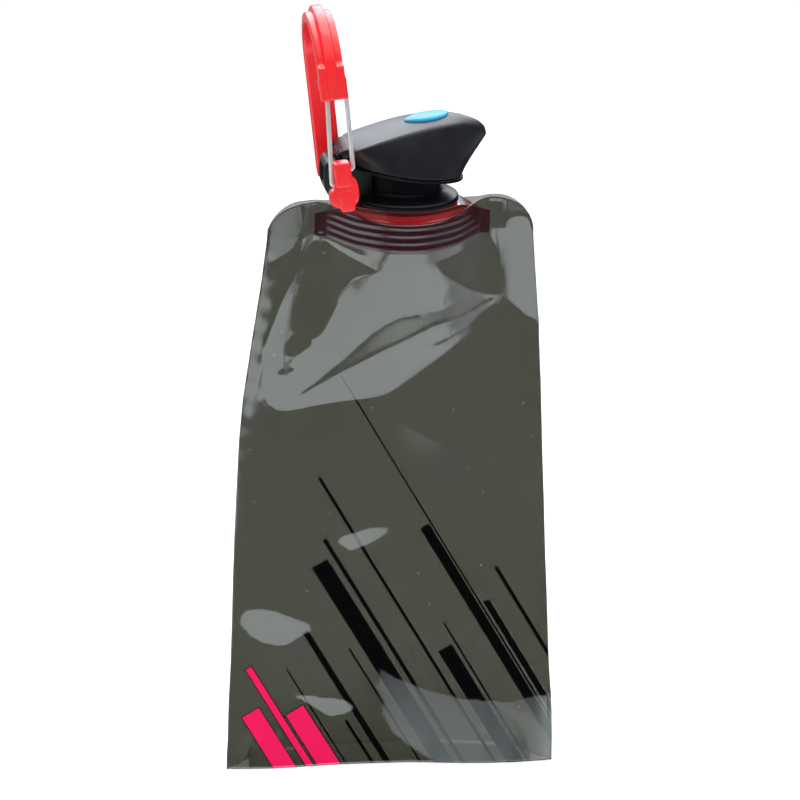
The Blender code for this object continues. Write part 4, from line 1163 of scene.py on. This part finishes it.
# White paper that glows a little where it is seen and is left out of mirrors
def plainStage():
    work = bmesh.new()
    bmesh.ops.create_grid(work, x_segments=2, y_segments=2, size=floorSet["half"])
    mesh = bpy.data.meshes.new("floor")
    work.to_mesh(mesh)
    work.free()
    floor = bpy.data.objects.new("floor", mesh)
    floor.location = floorSet["place"]
    bpy.context.scene.collection.objects.link(floor)
    material, tree, shader = newMaterial("floorPaper")
    setShader(tree, shader, colour=floorSet["colour"], roughness=0.9, specular=0.0)
    rays = tree.nodes.new("ShaderNodeLightPath")
    mirrored = mathNode(tree, 'MAXIMUM', rays.outputs["Is Glossy Ray"], rays.outputs["Is Transmission Ray"])
    seen = mathNode(tree, 'MAXIMUM', rays.outputs["Is Camera Ray"], mirrored)
    shader.inputs["Emission Color"].default_value = (1, 1, 1, 1)
    wire(tree, mathNode(tree, 'MULTIPLY', seen, floorSet["glow"]), shader.inputs["Emission Strength"])
    mesh.materials.append(material)
    floor.visible_glossy = False


plainStage()


# What gloss mirrors, each zone over those before it: how it fades in along each axis of the ray, as
# (off, on), and its colour, or its colours on the left and on the right. "side" is the distance from the
# middle plane, and "table" the distance from the middle of the bright table edge.
darkRoom = (0.012, 0.012, 0.012)
tableMiddle = 0.16
mirrorZones = {
    "tableEdge": ({"Z": (-0.375, -0.50), "table": (0.80, 0.62), "Y": (-0.25, -0.45)}, (1.45, 1.62, 1.68)),
    "ceiling": ({"Z": (0.45, 0.75)}, (1.15, 1.18, 1.2)),
    "sideWalls": ({"side": (0.86, 0.97), "Z": (-0.30, 0.0)}, (0.12, 0.12, 0.13)),
    "tableSides": ({"side": (0.55, 0.75), "Z": (-0.28, -0.37), "Y": (0.30, 0.15)},
                   ((1.45, 1.55, 1.60), (0.60, 0.66, 0.72))),
    "farTable": ({"Y": (0.72, 0.88), "Z": (0.10, -0.05)}, (0.35, 0.35, 0.36)),
    "backWall": ({"Y": (0.2, 0.7), "Z": (0.05, 0.30), "side": (0.65, 0.40)}, (3.4, 3.5, 3.85)),
}
openLight = (1.0, 1.0, 1.0)
fillLight = (0.55, 0.55, 0.55)  # what matt surfaces take from the world


def studioWorld():
    world = bpy.data.worlds.new("studio")
    bpy.context.scene.world = world
    world.use_nodes = True
    tree = world.node_tree
    background = tree.nodes["Background"]
    axes = axesOf(tree, tree.nodes.new("ShaderNodeTexCoord").outputs["Generated"])
    ways = {"X": axes["X"], "Y": axes["Y"], "Z": axes["Z"], "side": mathNode(tree, 'ABSOLUTE', axes["X"])}
    ways["table"] = mathNode(tree, 'ABSOLUTE', mathNode(tree, 'SUBTRACT', axes["X"], tableMiddle))
    mirrored = darkRoom
    for fades, colour in mirrorZones.values():
        zone = product(tree, *(fade(tree, ways[way], off, on) for way, (off, on) in fades.items()))
        if isinstance(colour[0], tuple):
            colour = mixColour(tree, mapRange(tree, axes["X"], -0.6, 0.6), *colour)
        mirrored = mixColour(tree, zone, mirrored, colour)
    rays = tree.nodes.new("ShaderNodeLightPath")
    plain = mixColour(tree, rays.outputs["Is Diffuse Ray"], openLight, fillLight)
    wire(tree, mixColour(tree, rays.outputs["Is Glossy Ray"], plain, mirrored), background.inputs["Color"])
    background.inputs["Strength"].default_value = 1.0
    # Rays find the world by themselves, so each kind sees its own colour
    world.cycles.sampling_method = 'NONE'


studioWorld()

# Each lamp with its place, what it is aimed at, its size and its power
lamps = [
    ("topSoftbox", (0.1, 0.25, 1.1), (0.0, 0.0, 0.1), 1.1, 9.0),
    ("leftSoftbox", (-1.0, -0.7, 0.8), (0.0, 0.0, 0.12), 0.8, 7.0),
    ("rightSoftbox", (1.0, -0.5, 0.6), (0.0, 0.0, 0.12), 0.8, 4.5),
]
for lampName, place, aim, size, power in lamps:
    light = bpy.data.lights.new(lampName, 'AREA')
    light.shape = 'SQUARE'
    light.size = size
    light.energy = power
    lamp = bpy.data.objects.new(lampName, light)
    lamp.location = place
    lamp.visible_glossy = lampName == "topSoftbox"  # the others would show as squares in the film
    lamp.rotation_euler = (Vector(aim) - Vector(place)).to_track_quat('-Z', 'Y').to_euler()
    bpy.context.scene.collection.objects.link(lamp)

bpy.context.scene.view_settings.view_transform = 'Standard'
print("stage and lamps set")
